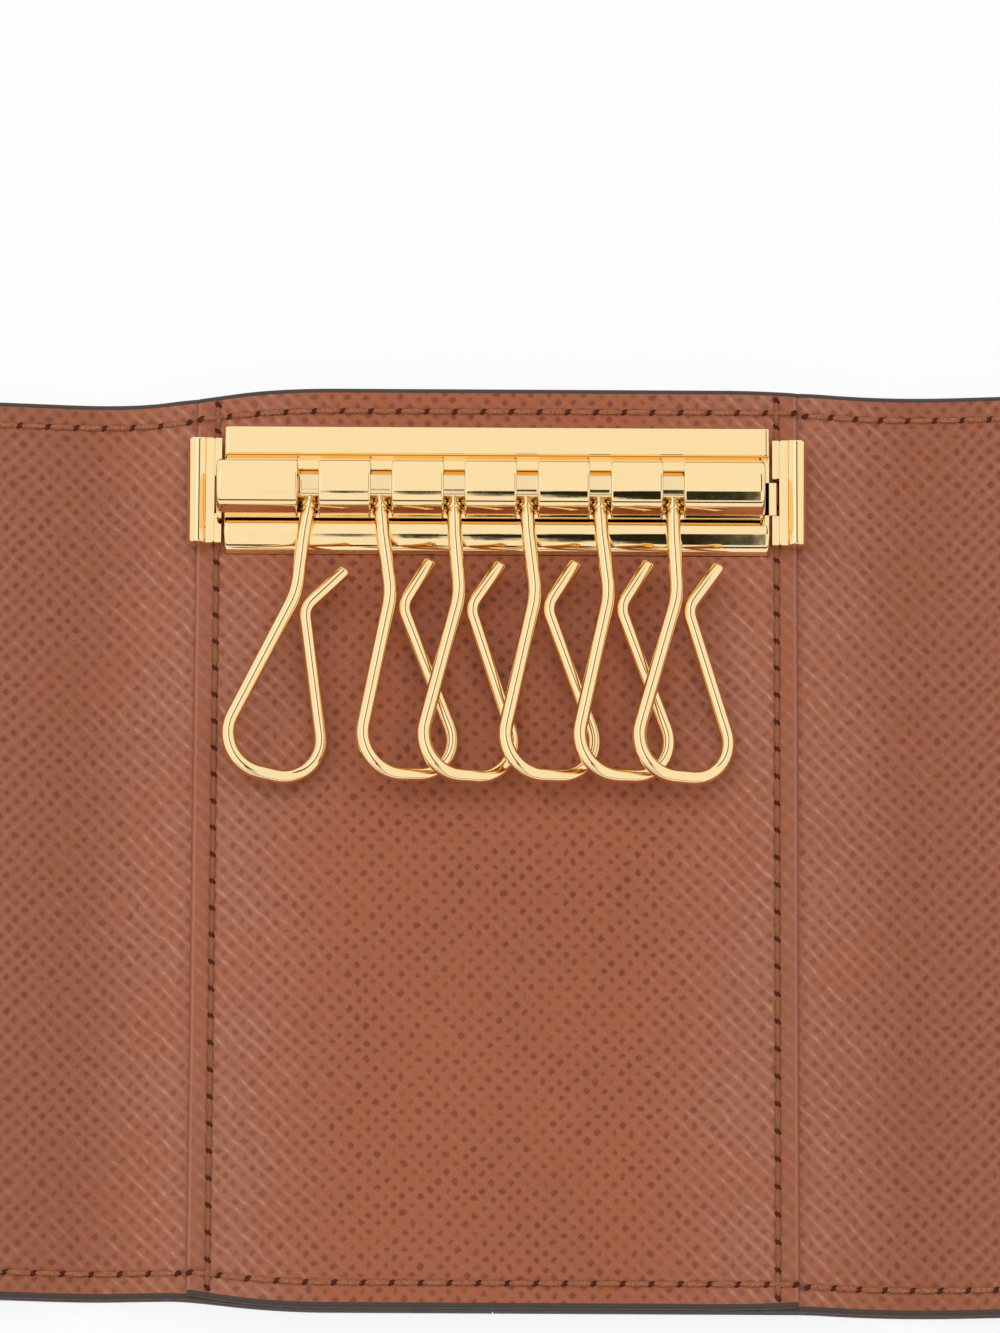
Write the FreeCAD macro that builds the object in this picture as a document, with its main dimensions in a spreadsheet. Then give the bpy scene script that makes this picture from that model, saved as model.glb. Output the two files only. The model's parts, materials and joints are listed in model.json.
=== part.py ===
"""Open trifold leather key case with a six-hook key bar, modelled lying open with its lining up.

Frame: X across the open case, Y towards the edge that carries the bar, Z up out of the lining.
The origin is the middle of the surface that the case lies on. Millimetres throughout.
"""
import FreeCAD, Part
import math
import os
import re
from types import SimpleNamespace

Vector = FreeCAD.Vector
Rotation = FreeCAD.Rotation
Placement = FreeCAD.Placement

# Driving sizes: alias, value, meaning
SIZES = [
    ("case_height", 100.0, "height of the case along its folds"),
    ("outer_flap_width", 47.0, "width of the flap that ends up on top"),
    ("crease_span", 66.0, "from inner crease to inner crease"),
    ("flap_corner", 6.0, "radius of the outer corners of the flaps"),
    ("inner_flap_trim", 1.3, "how much lower the inner flap is cut at its top and bottom"),
    ("trim_start", 17.0, "where the trimmed edge starts to fall, from the middle"),
    ("trim_end", 39.0, "where the trimmed edge is level again, from the middle"),
    ("cover_thickness", 1.1, "outer leather"),
    ("lining_thickness", 0.9, "lining of flaps and spines, and the board beside it"),
    ("overlay_thickness", 0.9, "centre lining that laps over the flap linings"),
    ("overlay_setback", 1.4, "edge of the centre lining from the crease"),
    ("margin_width", 5.0, "flap lining tucked under the centre lining"),
    ("margin_gap", 0.5, "between the board and the tucked margins of the flap linings"),
    ("valley_drop", 1.5, "how far the spines dip below the centre panel"),
    ("flap_rise", 6.5, "slope of the lying flaps in degrees"),
    ("inner_spine_chord", 11.4, "straight width of the spine of the inner flap"),
    ("closed_gap", 1.9, "between the two flaps when the case is snapped shut"),
    ("axis_from_top", 12.4, "from the top edge to the axis of the key bar"),
    ("axis_height", 4.2, "axis of the key bar above the centre lining"),
    ("tube_radius", 2.95, "outside of the slotted tube"),
    ("tube_wall", 0.5, "wall of the slotted tube"),
    ("tube_shortfall", 0.5, "how much sooner the tube ends than the base plate"),
    ("slot_row_offset", 0.65, "how far the slots sit towards the inner flap"),
    ("tube_end_round", 0.4, "rounded ends of the tube"),
    ("tube_end_wall", 1.0, "closed ends of the tube"),
    ("base_thickness", 0.8, "plate under the tube"),
    ("upper_band_start", 4.3, "inner edge of the upper band from the axis"),
    ("upper_band_end", 7.55, "outer edge of the upper band from the axis"),
    ("lower_band_start", 3.5, "inner edge of the lower band from the axis"),
    ("lower_band_end", 5.9, "outer edge of the lower band from the axis"),
    ("band_height", 2.0, "top of both bands above the centre lining"),
    ("upper_band_round", 0.4, "rounded edges of the upper band"),
    ("lower_band_round", 0.7, "rounded edges of the lower band"),
    ("band_end_round", 0.3, "rounded ends of both bands"),
    ("bed_clearance", 0.25, "round the bed that the swivel drums run on"),
    ("lip_length", 0.8, "stretch of the tube that overhangs the inner bracket"),
    ("lip_clearance", 0.55, "between that overhang and the bracket"),
    ("tongue_clearance", 0.25, "round the tongues of the base plate in the brackets"),
    ("row_margin", 4.41, "spare length of the tunnel at each end of the row of drums"),
    ("slot_clearance", 0.22, "between a collar and the sides of its slot"),
    ("slot_depth", 1.25, "bottom of the slots below the axis"),
    ("drum_clearance", 0.1, "running gap between a drum and the tube"),
    ("drum_gap", 1.3, "between neighbouring drums with straight hooks"),
    ("stem_clearance", 0.06, "running gap round a stem and its head"),
    ("head_radius", 1.2, "head of a hook inside its drum"),
    ("head_thickness", 0.85, "thickness of that head"),
    ("head_seat", 0.55, "shoulder under the head, from the axis"),
    ("collar_lip", 0.13, "how far a hook's collar stands out from the wire"),
    ("collar_length", 0.95, "length of the collar"),
    ("collar_round", 0.3, "rounded rims of the collar"),
    ("collar_gap", 0.22, "between the collar and the drum"),
    ("wire_diameter", 1.5, "hook wire"),
    ("stem_straight", 5.0, "straight stem from the axis"),
    ("stem_bend", 14.0, "radius of the slight bend in the stem"),
    ("neck_side", 0.4, "neck of the hook beside the stem's axis"),
    ("neck_reach", 11.6, "neck of the hook from the axis"),
    ("neck_bend", 9.0, "radius of the bend at the neck"),
    ("loop_reach", 31.3, "bottom of the loop from the axis"),
    ("loop_left", 4.0, "left side of the loop from the stem's axis"),
    ("loop_right", 6.0, "right side of the loop from the stem's axis"),
    ("loop_corner", 4.1, "radius of the loop's corners"),
    ("pinch_draw", 0.35, "how far the corner of the free end's bend is drawn in to the neck"),
    ("pinch_drop", 1.4, "where the free end comes back, past the neck"),
    ("pinch_bend", 2.2, "radius of the bend there"),
    ("tip_run", 3.65, "from that bend to the tip, sideways"),
    ("tip_rise", 5.0, "from that bend back to the tip, along the stem"),
    ("rest_gap", 0.5, "under the low side of a lying hook"),
    ("shingle_gap", 1.2523, "between the planes of neighbouring hooks, beside their wire"),
    ("bracket_to_crease", 0.8, "between a bracket and the crease"),
    ("bracket_gap", 0.3, "between the base plate and a bracket"),
    ("bracket_width", 3.2, "width of an end bracket"),
    ("bracket_height", 1.95, "top of a bracket above the centre lining"),
    ("bracket_bead", 1.1, "radius of the rolled bead along a bracket"),
    ("bracket_flange", 1.5, "height of the flange between bead and bar"),
    ("bracket_above", 6.3, "reach of a bracket above the axis"),
    ("bracket_below", 4.9, "reach of a bracket below the axis"),
    ("bracket_corner", 0.3, "rounded ends of the bead"),
    ("notch_height", 4.1, "notch in the bracket's flange"),
    ("notch_depth", 0.75, "depth of that notch"),
    ("rivet_radius", 0.6, "shank of a bracket rivet"),
    ("rivet_depth", 0.9, "blind hole for a rivet in its bracket"),
    ("rivet_flange", 1.4, "clinched end of a rivet"),
    ("rivet_flange_thickness", 0.35, "thickness of the clinched end"),
    ("rivet_spread", 3.4, "rivets above and below the axis"),
    ("rivet_inset", 1.75, "rivets from the outer edge of their bracket"),
    ("seat_clearance", 0.04, "gap round rivets and snap posts"),
    ("snap_spread", 25.0, "snaps above and below the middle of the case"),
    ("snap_from_edge", 8.0, "snaps from the edge of the outer flap"),
    ("cap_radius", 6.0, "snap cap on the outer flap"),
    ("cap_height", 1.3, "crown of the snap cap"),
    ("cap_rim", 0.45, "rim of the snap cap"),
    ("post_radius", 1.4, "posts through the leather"),
    ("socket_radius", 4.9, "snap socket"),
    ("socket_floor", 0.35, "floor of the snap socket"),
    ("socket_bore", 2.1, "mouth of the snap socket"),
    ("stud_radius", 4.6, "flange of the snap stud"),
    ("stud_flange", 0.3, "thickness of that flange"),
    ("nipple_radius", 1.95, "nipple of the snap stud"),
    ("snap_clearance", 0.1, "between stud and socket when the case is shut"),
    ("eyelet_radius", 4.2, "eyelet behind the snap stud"),
    ("eyelet_height", 0.5, "thickness of the eyelet"),
    ("post_depth", 0.8, "reach of the eyelet's post into the stud"),
    ("overrun", 1.0, "spare length of cutting shapes"),
]

# How the six hooks lie: their sideways lean, and the spin of the first, which lies free, in degrees
HOOK_LEAN_DEGREES = [-10.0, 4.7, 1.6, 3.6, 3.8, 0.4]
FREE_SPIN_DEGREES = 14.0
HOOK_COUNT = len(HOOK_LEAN_DEGREES)

doc = FreeCAD.newDocument("key_case")
sheet = doc.addObject("Spreadsheet::Sheet", "Sizes")
worked = doc.addObject("Spreadsheet::Sheet", "Worked")
aliases = {}
nodes = {}


def fill(target, row, alias, value, meaning):
    """Write one value into a sheet and give its cell an alias."""
    target.set(f"A{row}", meaning)
    target.set(f"B{row}", repr(float(value)))
    target.setAlias(f"B{row}", alias)
    aliases[alias] = target.Name


for number, (alias, value, meaning) in enumerate(SIZES, 1):
    fill(sheet, number, alias, value, meaning)
doc.recompute()
S = SimpleNamespace(**{alias: float(sheet.get(alias)) for alias, _, _ in SIZES})


def solve_start_slope(chord, end_slope, drop):
    """Start slope of an arc with this chord and end slope that dips by drop below its start."""
    low, high = 0.0, math.radians(60)
    while high - low > 1e-12:
        middle = (low + high) / 2
        radius = chord / (2 * math.sin((middle + end_slope) / 2))
        if radius * (1 - math.cos(middle)) < drop:
            low = middle
        else:
            high = middle
    return low


def side_frame(chord):
    """Arc of a spine, its creases and fold angles, for the right-hand side."""
    rise = math.radians(S.flap_rise)
    start = solve_start_slope(chord, rise, S.valley_drop)
    radius = chord / (2 * math.sin((start + rise) / 2))
    inner = (S.crease_span / 2, S.valley_drop + leather)
    centre = (inner[0] + radius * math.sin(start), inner[1] + radius * math.cos(start))
    outer = (centre[0] + radius * math.sin(rise), centre[1] - radius * math.cos(rise))
    spine_turn = math.pi / 2 + (start - rise) / 2
    flap_turn = math.pi - rise - spine_turn
    closed = (inner[0], inner[1] + chord)
    return SimpleNamespace(radius=radius, inner=inner, centre=centre, outer=outer, start=start, rise=rise,
                           spine_turn=spine_turn, flap_turn=flap_turn, closed=closed)


leather = S.cover_thickness + S.lining_thickness
left = side_frame(S.inner_spine_chord)
right = side_frame(S.inner_spine_chord + leather + S.closed_gap)
top_edge = S.case_height / 2
half_open = right.outer[0] + S.outer_flap_width * math.cos(right.rise)
axis_y = top_edge - S.axis_from_top
panel_top = S.valley_drop + leather
lining_top = panel_top + S.overlay_thickness
axis_z = lining_top + S.axis_height
tunnel_radius = S.tube_radius - S.tube_wall
drum_radius = tunnel_radius - S.drum_clearance
bed_height = S.axis_height - drum_radius - S.drum_clearance
wire_radius = S.wire_diameter / 2
collar_radius = wire_radius + S.collar_lip
slot_width = 2 * (collar_radius + S.slot_clearance)
bracket_end = S.crease_span / 2 - S.bracket_to_crease
bracket_start = bracket_end - S.bracket_width
base_length = 2 * (bracket_start - S.bracket_gap)
tube_start = -base_length / 2 - S.lip_length
tube_length = base_length + S.lip_length - S.tube_shortfall
tunnel_length = tube_length - S.lip_length - 2 * S.tube_end_wall
slot_pitch = (tunnel_length - 2 * S.row_margin) / HOOK_COUNT
shingled_spin = math.degrees(math.asin((S.wire_diameter + S.shingle_gap) / slot_pitch))
hook_spins = [FREE_SPIN_DEGREES] + [shingled_spin] * (HOOK_COUNT - 1)
rivet_base = S.valley_drop + S.cover_thickness - S.rivet_flange_thickness
tongue_length = S.bracket_gap + S.notch_depth - S.tongue_clearance
rivet_x = bracket_end - S.rivet_inset
socket_along = S.outer_flap_width - S.snap_from_edge
stud_along = right.closed[0] + left.closed[0] - socket_along

WORKED = [
    ("axis_y", axis_y, "axis of the key bar from the middle of the case"),
    ("axis_z", axis_z, "axis of the key bar above the surface"),
    ("lining_top", lining_top, "top of the centre lining"),
    ("panel_top", panel_top, "top of the board and the tucked margins"),
    ("drum_radius", drum_radius, "swivel drum"),
    ("wire_radius", wire_radius, "hook wire"),
    ("slot_width", slot_width, "slots in the tube"),
    ("base_length", base_length, "length of the base plate and its bands"),
    ("tongue_length", tongue_length, "reach of the base plate's tongues"),
    ("slot_pitch", slot_pitch, "from hook to hook"),
    ("drum_length", slot_pitch - S.drum_gap, "length of a swivel drum"),
    ("bed_height", bed_height, "bed of the drums above the centre lining"),
    ("rivet_base", rivet_base, "foot of the rivets above the surface"),
    ("tunnel_length", tunnel_length, "hollow of the tube"),
    ("lip_height", S.bracket_height + S.lip_clearance, "underside of the tube's overhang"),
    ("socket_height", S.closed_gap - S.stud_flange - S.snap_clearance, "height of the snap socket"),
    ("nipple_height", S.closed_gap - S.socket_floor - S.snap_clearance, "height of the snap stud"),
    ("bracket_start", bracket_start, "inner edge of a bracket"),
    ("bracket_end", bracket_end, "outer edge of a bracket"),
    ("rivet_x", rivet_x, "rivets from the middle"),
    ("tube_start", tube_start, "end of the tube by the inner flap"),
    ("tube_length", tube_length, "length of the slotted tube"),
    ("leather", leather, "cover and lining together"),
]
for number, (alias, value, meaning) in enumerate(WORKED, 1):
    fill(worked, number, alias, value, meaning)
doc.recompute()


def bind(thing, prop, text):
    """Bind a property to an expression in which every alias stands for its cell."""
    names = re.compile("|".join(rf"\b{name}\b" for name in aliases))
    thing.setExpression(prop, names.sub(lambda found: f"{aliases[found.group()]}.{found.group()}", text))


def keep(name, thing):
    """Give a finished piece its name."""
    nodes[name] = thing
    return thing


def sketch(name, edges, placement=None):
    """A sketch of lines (two points) and arcs (three points)."""
    result = doc.addObject("Sketcher::SketchObject", name)
    for edge in edges:
        points = [Vector(a, b, 0) for a, b in edge]
        result.addGeometry(Part.LineSegment(*points) if len(points) == 2 else Part.Arc(*points))
    result.Placement = placement or Placement()
    return result


def polygon(points):
    """Edges of a closed outline of straight lines."""
    return [(points[i - 1], points[i]) for i in range(len(points))]


def extrude(name, profile, length, symmetric=False):
    """A solid that a closed sketch sweeps along its normal."""
    result = doc.addObject("Part::Extrusion", name)
    result.Base = profile
    result.DirMode = "Normal"
    result.Solid = True
    result.Symmetric = symmetric
    bind(result, "LengthFwd", length)
    return result


def box(name, lengths, corner):
    """A box from its three lengths and its lowest corner, all given as expressions."""
    result = doc.addObject("Part::Box", name)
    for prop, text in zip(("Length", "Width", "Height"), lengths):
        bind(result, prop, text)
    for prop, text in zip("xyz", corner):
        bind(result, f"Placement.Base.{prop}", text)
    return result


def cylinder(name, radius, height, placement):
    """A cylinder from two expressions, standing on its placement."""
    result = doc.addObject("Part::Cylinder", name)
    bind(result, "Radius", radius)
    bind(result, "Height", height)
    result.Placement = placement
    return result


def spun(name, edges, placement):
    """A solid of revolution from a half outline of (radius, height) points about its own Z axis."""
    upright = Placement(Vector(), Rotation(Vector(1, 0, 0), 90))
    result = doc.addObject("Part::Revolution", name)
    result.Source = sketch(f"{name}_outline", edges, placement.multiply(upright))
    result.Base = placement.Base
    result.Axis = placement.Rotation.multVec(Vector(0, 0, 1))
    result.Angle = 360
    result.Solid = True
    return result


def cut(name, base, *tools):
    """A piece with one or more shapes cut away."""
    tool = tools[0]
    if len(tools) > 1:
        tool = doc.addObject("Part::MultiFuse", f"{name}_tools")
        tool.Shapes = list(tools)
    result = doc.addObject("Part::Cut", name)
    result.Base = base
    result.Tool = tool
    return result


def fuse(name, *shapes):
    """One solid from several shapes."""
    result = doc.addObject("Part::MultiFuse", name)
    result.Shapes = list(shapes)
    result.Refine = True
    return result


def group(name, shapes):
    """Like pieces kept as separate solids of one node."""
    result = doc.addObject("Part::Compound", name)
    result.Links = list(shapes)
    return result


ACROSS = Rotation(Vector(1, 0, 0), 90)
ALONG = Rotation(Vector(0, 1, 0), Vector(0, 0, 1), Vector(1, 0, 0), "XYZ")


# The outline of the open case, which trims every leather piece
def fall(x_start, x_end, y_start, y_end):
    """Two equal arcs that lead a level edge down to another level edge."""
    half_run = (x_end - x_start) / 2
    half_fall = (y_end - y_start) / 2
    radius = (half_run ** 2 + half_fall ** 2) / (2 * abs(half_fall))
    half_angle = math.asin(abs(half_run) / radius) / 2
    step = math.copysign(radius * math.sin(half_angle), half_run)
    dip = math.copysign(radius * (1 - math.cos(half_angle)), half_fall)
    middle = (x_start + half_run, y_start + half_fall)
    return [((x_start, y_start), (x_start + step, y_start + dip), middle),
            (middle, (x_end - step, y_end - dip), (x_end, y_end))]


def corner(x, y, side_x, side_y):
    """Rounded outer corner of a flap, from its upright edge to its level edge."""
    r = S.flap_corner
    bow = r * (1 - math.cos(math.pi / 4))
    return ((x, y - side_y * r), (x - side_x * bow, y - side_y * bow), (x - side_x * r, y))


inner_edge = top_edge - S.inner_flap_trim
outline_edges = []
for side in (1, -1):
    outline_edges.append(corner(half_open, side * top_edge, 1, side))
    outline_edges.append(((half_open - S.flap_corner, side * top_edge), (-S.trim_start, side * top_edge)))
    outline_edges += fall(-S.trim_start, -S.trim_end, side * top_edge, side * inner_edge)
    outline_edges.append(((-S.trim_end, side * inner_edge), (S.flap_corner - half_open, side * inner_edge)))
    outline_edges.append(corner(-half_open, side * inner_edge, -1, side))
outline_edges.append(((half_open, top_edge - S.flap_corner), (half_open, S.flap_corner - top_edge)))
outline_edges.append(((-half_open, inner_edge - S.flap_corner), (-half_open, S.flap_corner - inner_edge)))
outline = extrude("case_outline", sketch("case_outline_edges", outline_edges), "axis_z")


# Leather
def panel(name, edges):
    """A leather panel: a cross-section carried along the case and trimmed to its outline."""
    section = sketch(f"{name}_section", edges, Placement(Vector(), ACROSS))
    strip = extrude(f"{name}_strip", section, "case_height + 2 * overrun", symmetric=True)
    result = doc.addObject("Part::Common", name)
    result.Base = strip
    result.Tool = outline
    return result


def flat_panel(name, x_start, x_end, z_start, z_end):
    """A level panel between two creases or edges."""
    return panel(name, polygon([(x_start, z_start), (x_end, z_start), (x_end, z_end), (x_start, z_end)]))


def spine_panel(name, sign, frame, depth_top, depth_bottom):
    """A dipped spine: two arcs about one centre, square to the crease of the flap, upright at the centre."""
    x_centre, z_centre = frame.centre
    arcs = []
    for depth in (depth_top, depth_bottom):
        radius = frame.radius + depth
        begin = math.asin((x_centre - frame.inner[0]) / radius)
        angles = (-begin, (frame.rise - begin) / 2, frame.rise)
        arcs.append([(sign * (x_centre + radius * math.sin(a)), z_centre - radius * math.cos(a)) for a in angles])
    upper, lower = arcs
    edges = [tuple(upper), (upper[2], lower[2]), tuple(reversed(lower)), (lower[0], upper[0])]
    return panel(name, edges)


def flap_panel(name, sign, frame, depth_top, depth_bottom):
    """A straight flap that rises from its crease and runs past the outline."""
    reach = (half_open + S.overrun - frame.outer[0]) / math.cos(frame.rise) + leather
    points = []
    for along, depth in ((0, depth_top), (reach, depth_top), (reach, depth_bottom), (0, depth_bottom)):
        x = frame.outer[0] + along * math.cos(frame.rise) + depth * math.sin(frame.rise)
        z = frame.outer[1] + along * math.sin(frame.rise) - depth * math.cos(frame.rise)
        points.append((sign * x, z))
    return panel(name, polygon(points))


half_crease = S.crease_span / 2
half_board = half_crease - S.margin_width - S.margin_gap
half_overlay = half_crease - S.overlay_setback
cover_top = S.valley_drop + S.cover_thickness
centre_cover = flat_panel("centre_cover_blank", -half_crease, half_crease, S.valley_drop, cover_top)
keep("stiffener_board", flat_panel("stiffener_board", -half_board, half_board, cover_top, panel_top))
margins = {}
for side, sign in (("left", -1), ("right", 1)):
    margins[side] = flat_panel(f"{side}_margin_blank", sign * (half_board + S.margin_gap), sign * half_crease,
                               cover_top, panel_top)
centre_lining = flat_panel("centre_lining_blank", -half_overlay, half_overlay, panel_top, lining_top)
flap_layers = {}
for side, sign, frame in (("left", -1, left), ("right", 1, right)):
    keep(f"{side}_spine_lining", spine_panel(f"{side}_spine_lining", sign, frame, 0, S.lining_thickness))
    keep(f"{side}_spine_cover", spine_panel(f"{side}_spine_cover", sign, frame, S.lining_thickness, leather))
    flap_layers[side] = {
        "lining": flap_panel(f"{side}_flap_lining_blank", sign, frame, 0, S.lining_thickness),
        "cover": flap_panel(f"{side}_flap_cover_blank", sign, frame, S.lining_thickness, leather),
    }

# Base plate of the key bar, with its two bands and the bed of the drums
LOW, HIGH = -1, 1
base_top = lining_top + S.base_thickness


def round_edges(name, base, radius, wanted):
    """A piece with the edges that the test picks rounded off."""
    doc.recompute()
    result = doc.addObject("Part::Fillet", name)
    result.Base = base
    result.Edges = [(i, radius, radius) for i, edge in enumerate(base.Shape.Edges, 1) if wanted(edge)]
    return result


def end_of_bar(edge, *ends):
    """Whether an edge lies in the end face of a bar that runs along X."""
    low, high = edge.BoundBox.XMin, edge.BoundBox.XMax
    return math.isclose(low, high, abs_tol=S.snap_clearance) and any(
        math.isclose(abs(low), abs(end), abs_tol=S.snap_clearance) for end in ends)


def band(side, start, end, top, rounding):
    """Outline of one band from the plate's top up over its rounded edges and down to the lining."""
    bow = rounding * (1 - math.cos(math.pi / 4))
    near = (side * start, top - rounding)
    near_top = (side * (start + rounding), top)
    far_top = (side * (end - rounding), top)
    far = (side * end, top - rounding)
    return [
        ((side * start, S.base_thickness), near),
        (near, (side * (start + bow), top - bow), near_top),
        (near_top, far_top),
        (far_top, (side * (end - bow), top - bow), far),
        (far, (side * end, 0)),
    ]


base_edges = band(LOW, S.lower_band_start, S.lower_band_end, S.band_height, S.lower_band_round)
base_edges += band(HIGH, S.upper_band_start, S.upper_band_end, S.band_height, S.upper_band_round)
base_edges.append(((-S.lower_band_start, S.base_thickness), (S.upper_band_start, S.base_thickness)))
base_edges.append(((S.upper_band_end, 0), (-S.lower_band_end, 0)))
base_section = sketch("base_section", base_edges, Placement(Vector(-base_length / 2, axis_y, lining_top), ALONG))
base_bar = round_edges("base_bar", extrude("base_blank", base_section, "base_length"), S.band_end_round,
                       lambda edge: end_of_bar(edge, base_length / 2) and edge.BoundBox.ZMin > base_top)
tongues = box("tongues", ("base_length + 2 * tongue_length", "notch_height - 2 * tongue_clearance", "base_thickness"),
              ("-base_length / 2 - tongue_length", "axis_y - notch_height / 2 + tongue_clearance", "lining_top"))
bed = box("bed", ("tunnel_length - 2 * bed_clearance", "2 * (tube_radius - tube_wall - bed_clearance)", "bed_height"),
          ("tube_start + lip_length + tube_end_wall + bed_clearance",
           "axis_y - tube_radius + tube_wall + bed_clearance", "lining_top"))
keep("bar_base", fuse("bar_base", base_bar, tongues, bed))


# Slotted tube of the key bar
def arch(radius, foot):
    """Outline of a half round on straight legs."""
    return [((-radius, foot), (-radius, S.axis_height)),
            ((-radius, S.axis_height), (0, S.axis_height + radius), (radius, S.axis_height)),
            ((radius, S.axis_height), (radius, foot)),
            ((radius, foot), (-radius, foot))]


tube_section = sketch("tube_section", arch(S.tube_radius, S.base_thickness),
                      Placement(Vector(tube_start, axis_y, lining_top), ALONG))
tunnel_section = sketch("tunnel_section", arch(tunnel_radius, 0),
                        Placement(Vector(tube_start + S.lip_length + S.tube_end_wall, axis_y, lining_top), ALONG))
tube_blank = round_edges("tube_blank", extrude("tube_bar", tube_section, "tube_length"), S.tube_end_round,
                         lambda edge: end_of_bar(edge, tube_start, tube_start + tube_length)
                         and edge.BoundBox.ZMax > base_top + S.base_thickness)
tunnel = extrude("tunnel", tunnel_section, "tunnel_length")
lip_cut = box("lip_cut", ("lip_length + overrun", "2 * (tube_radius + overrun)", "lip_height + overrun"),
              ("tube_start - overrun", "axis_y - tube_radius - overrun", "lining_top - overrun"))


def hook_x(k):
    """Middle of slot k along the bar."""
    return -S.slot_row_offset + (k - (HOOK_COUNT - 1) / 2) * slot_pitch


slots = []
for k in range(HOOK_COUNT):
    middle = f"-slot_row_offset + ({k} - {HOOK_COUNT - 1} / 2) * slot_pitch"
    slots.append(box(f"slot_{k + 1}", ("slot_width", "2 * (tube_radius + overrun)", "slot_depth + tube_radius + overrun"),
                     (f"{middle} - slot_width / 2", "axis_y - tube_radius - overrun", "axis_z - slot_depth")))
keep("slotted_tube", cut("slotted_tube", tube_blank, tunnel, lip_cut, *slots))


# Key hooks and their swivel drums
def unit(a, b):
    """Direction from one point to another."""
    length = math.dist(a, b)
    return ((b[0] - a[0]) / length, (b[1] - a[1]) / length)


def tangent_point(point, centre, radius, side):
    """Where a line from a point touches a circle, on its left (-1) or right (1) side."""
    distance = math.dist(point, centre)
    toward = math.atan2(point[1] - centre[1], point[0] - centre[0])
    spread = math.acos(radius / distance)
    choices = [(centre[0] + radius * math.cos(toward + s * spread), centre[1] + radius * math.sin(toward + s * spread))
               for s in (-1, 1)]
    return sorted(choices)[0 if side < 0 else 1]


def rounded(previous, vertex, following, radius):
    """Arc that rounds a corner of the wire: its start, middle and end."""
    back, ahead = unit(vertex, previous), unit(vertex, following)
    half = math.acos(back[0] * ahead[0] + back[1] * ahead[1]) / 2
    run = radius / math.tan(half)
    bisector = unit((0, 0), (back[0] + ahead[0], back[1] + ahead[1]))
    depth = radius / math.sin(half) - radius
    return tuple((vertex[0] + d[0] * n, vertex[1] + d[1] * n) for d, n in ((back, run), (bisector, depth), (ahead, run)))


def round_the_loop(start, centre, radius, end):
    """Arc of a loop's corner between two of its points."""
    a, b = (math.atan2(p[1] - centre[1], p[0] - centre[0]) for p in (start, end))
    while a - b > math.pi:
        b += 2 * math.pi
    while b - a > math.pi:
        a += 2 * math.pi
    return (start, (centre[0] + radius * math.cos((a + b) / 2), centre[1] + radius * math.sin((a + b) / 2)), end)


def hook_path():
    """Centre line of a hook as (side, reach) points: stem, neck, pear loop, pinch and tip."""
    begin = (0, S.head_seat - S.head_thickness / 2)
    straight = (0, S.stem_straight)
    neck = (S.neck_side, S.neck_reach)
    pinch = (S.neck_side + S.wire_diameter - S.pinch_draw, S.neck_reach + S.pinch_drop)
    tip = (pinch[0] + S.tip_run, pinch[1] - S.tip_rise)
    left_centre = (S.loop_corner - S.loop_left, S.loop_reach - S.loop_corner)
    right_centre = (S.loop_right - S.loop_corner, S.loop_reach - S.loop_corner)
    left_touch = tangent_point(neck, left_centre, S.loop_corner, -1)
    right_touch = tangent_point(pinch, right_centre, S.loop_corner, 1)
    stem_arc = rounded(begin, straight, neck, S.stem_bend)
    neck_arc = rounded(straight, neck, left_touch, S.neck_bend)
    pinch_arc = rounded(right_touch, pinch, tip, S.pinch_bend)
    left_bottom = (left_centre[0], S.loop_reach)
    right_bottom = (right_centre[0], S.loop_reach)
    return [
        (begin, stem_arc[0]), stem_arc,
        (stem_arc[2], neck_arc[0]), neck_arc,
        (neck_arc[2], left_touch), round_the_loop(left_touch, left_centre, S.loop_corner, left_bottom),
        (left_bottom, right_bottom), round_the_loop(right_bottom, right_centre, S.loop_corner, right_touch),
        (right_touch, pinch_arc[0]), pinch_arc,
        (pinch_arc[2], tip),
    ]


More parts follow.
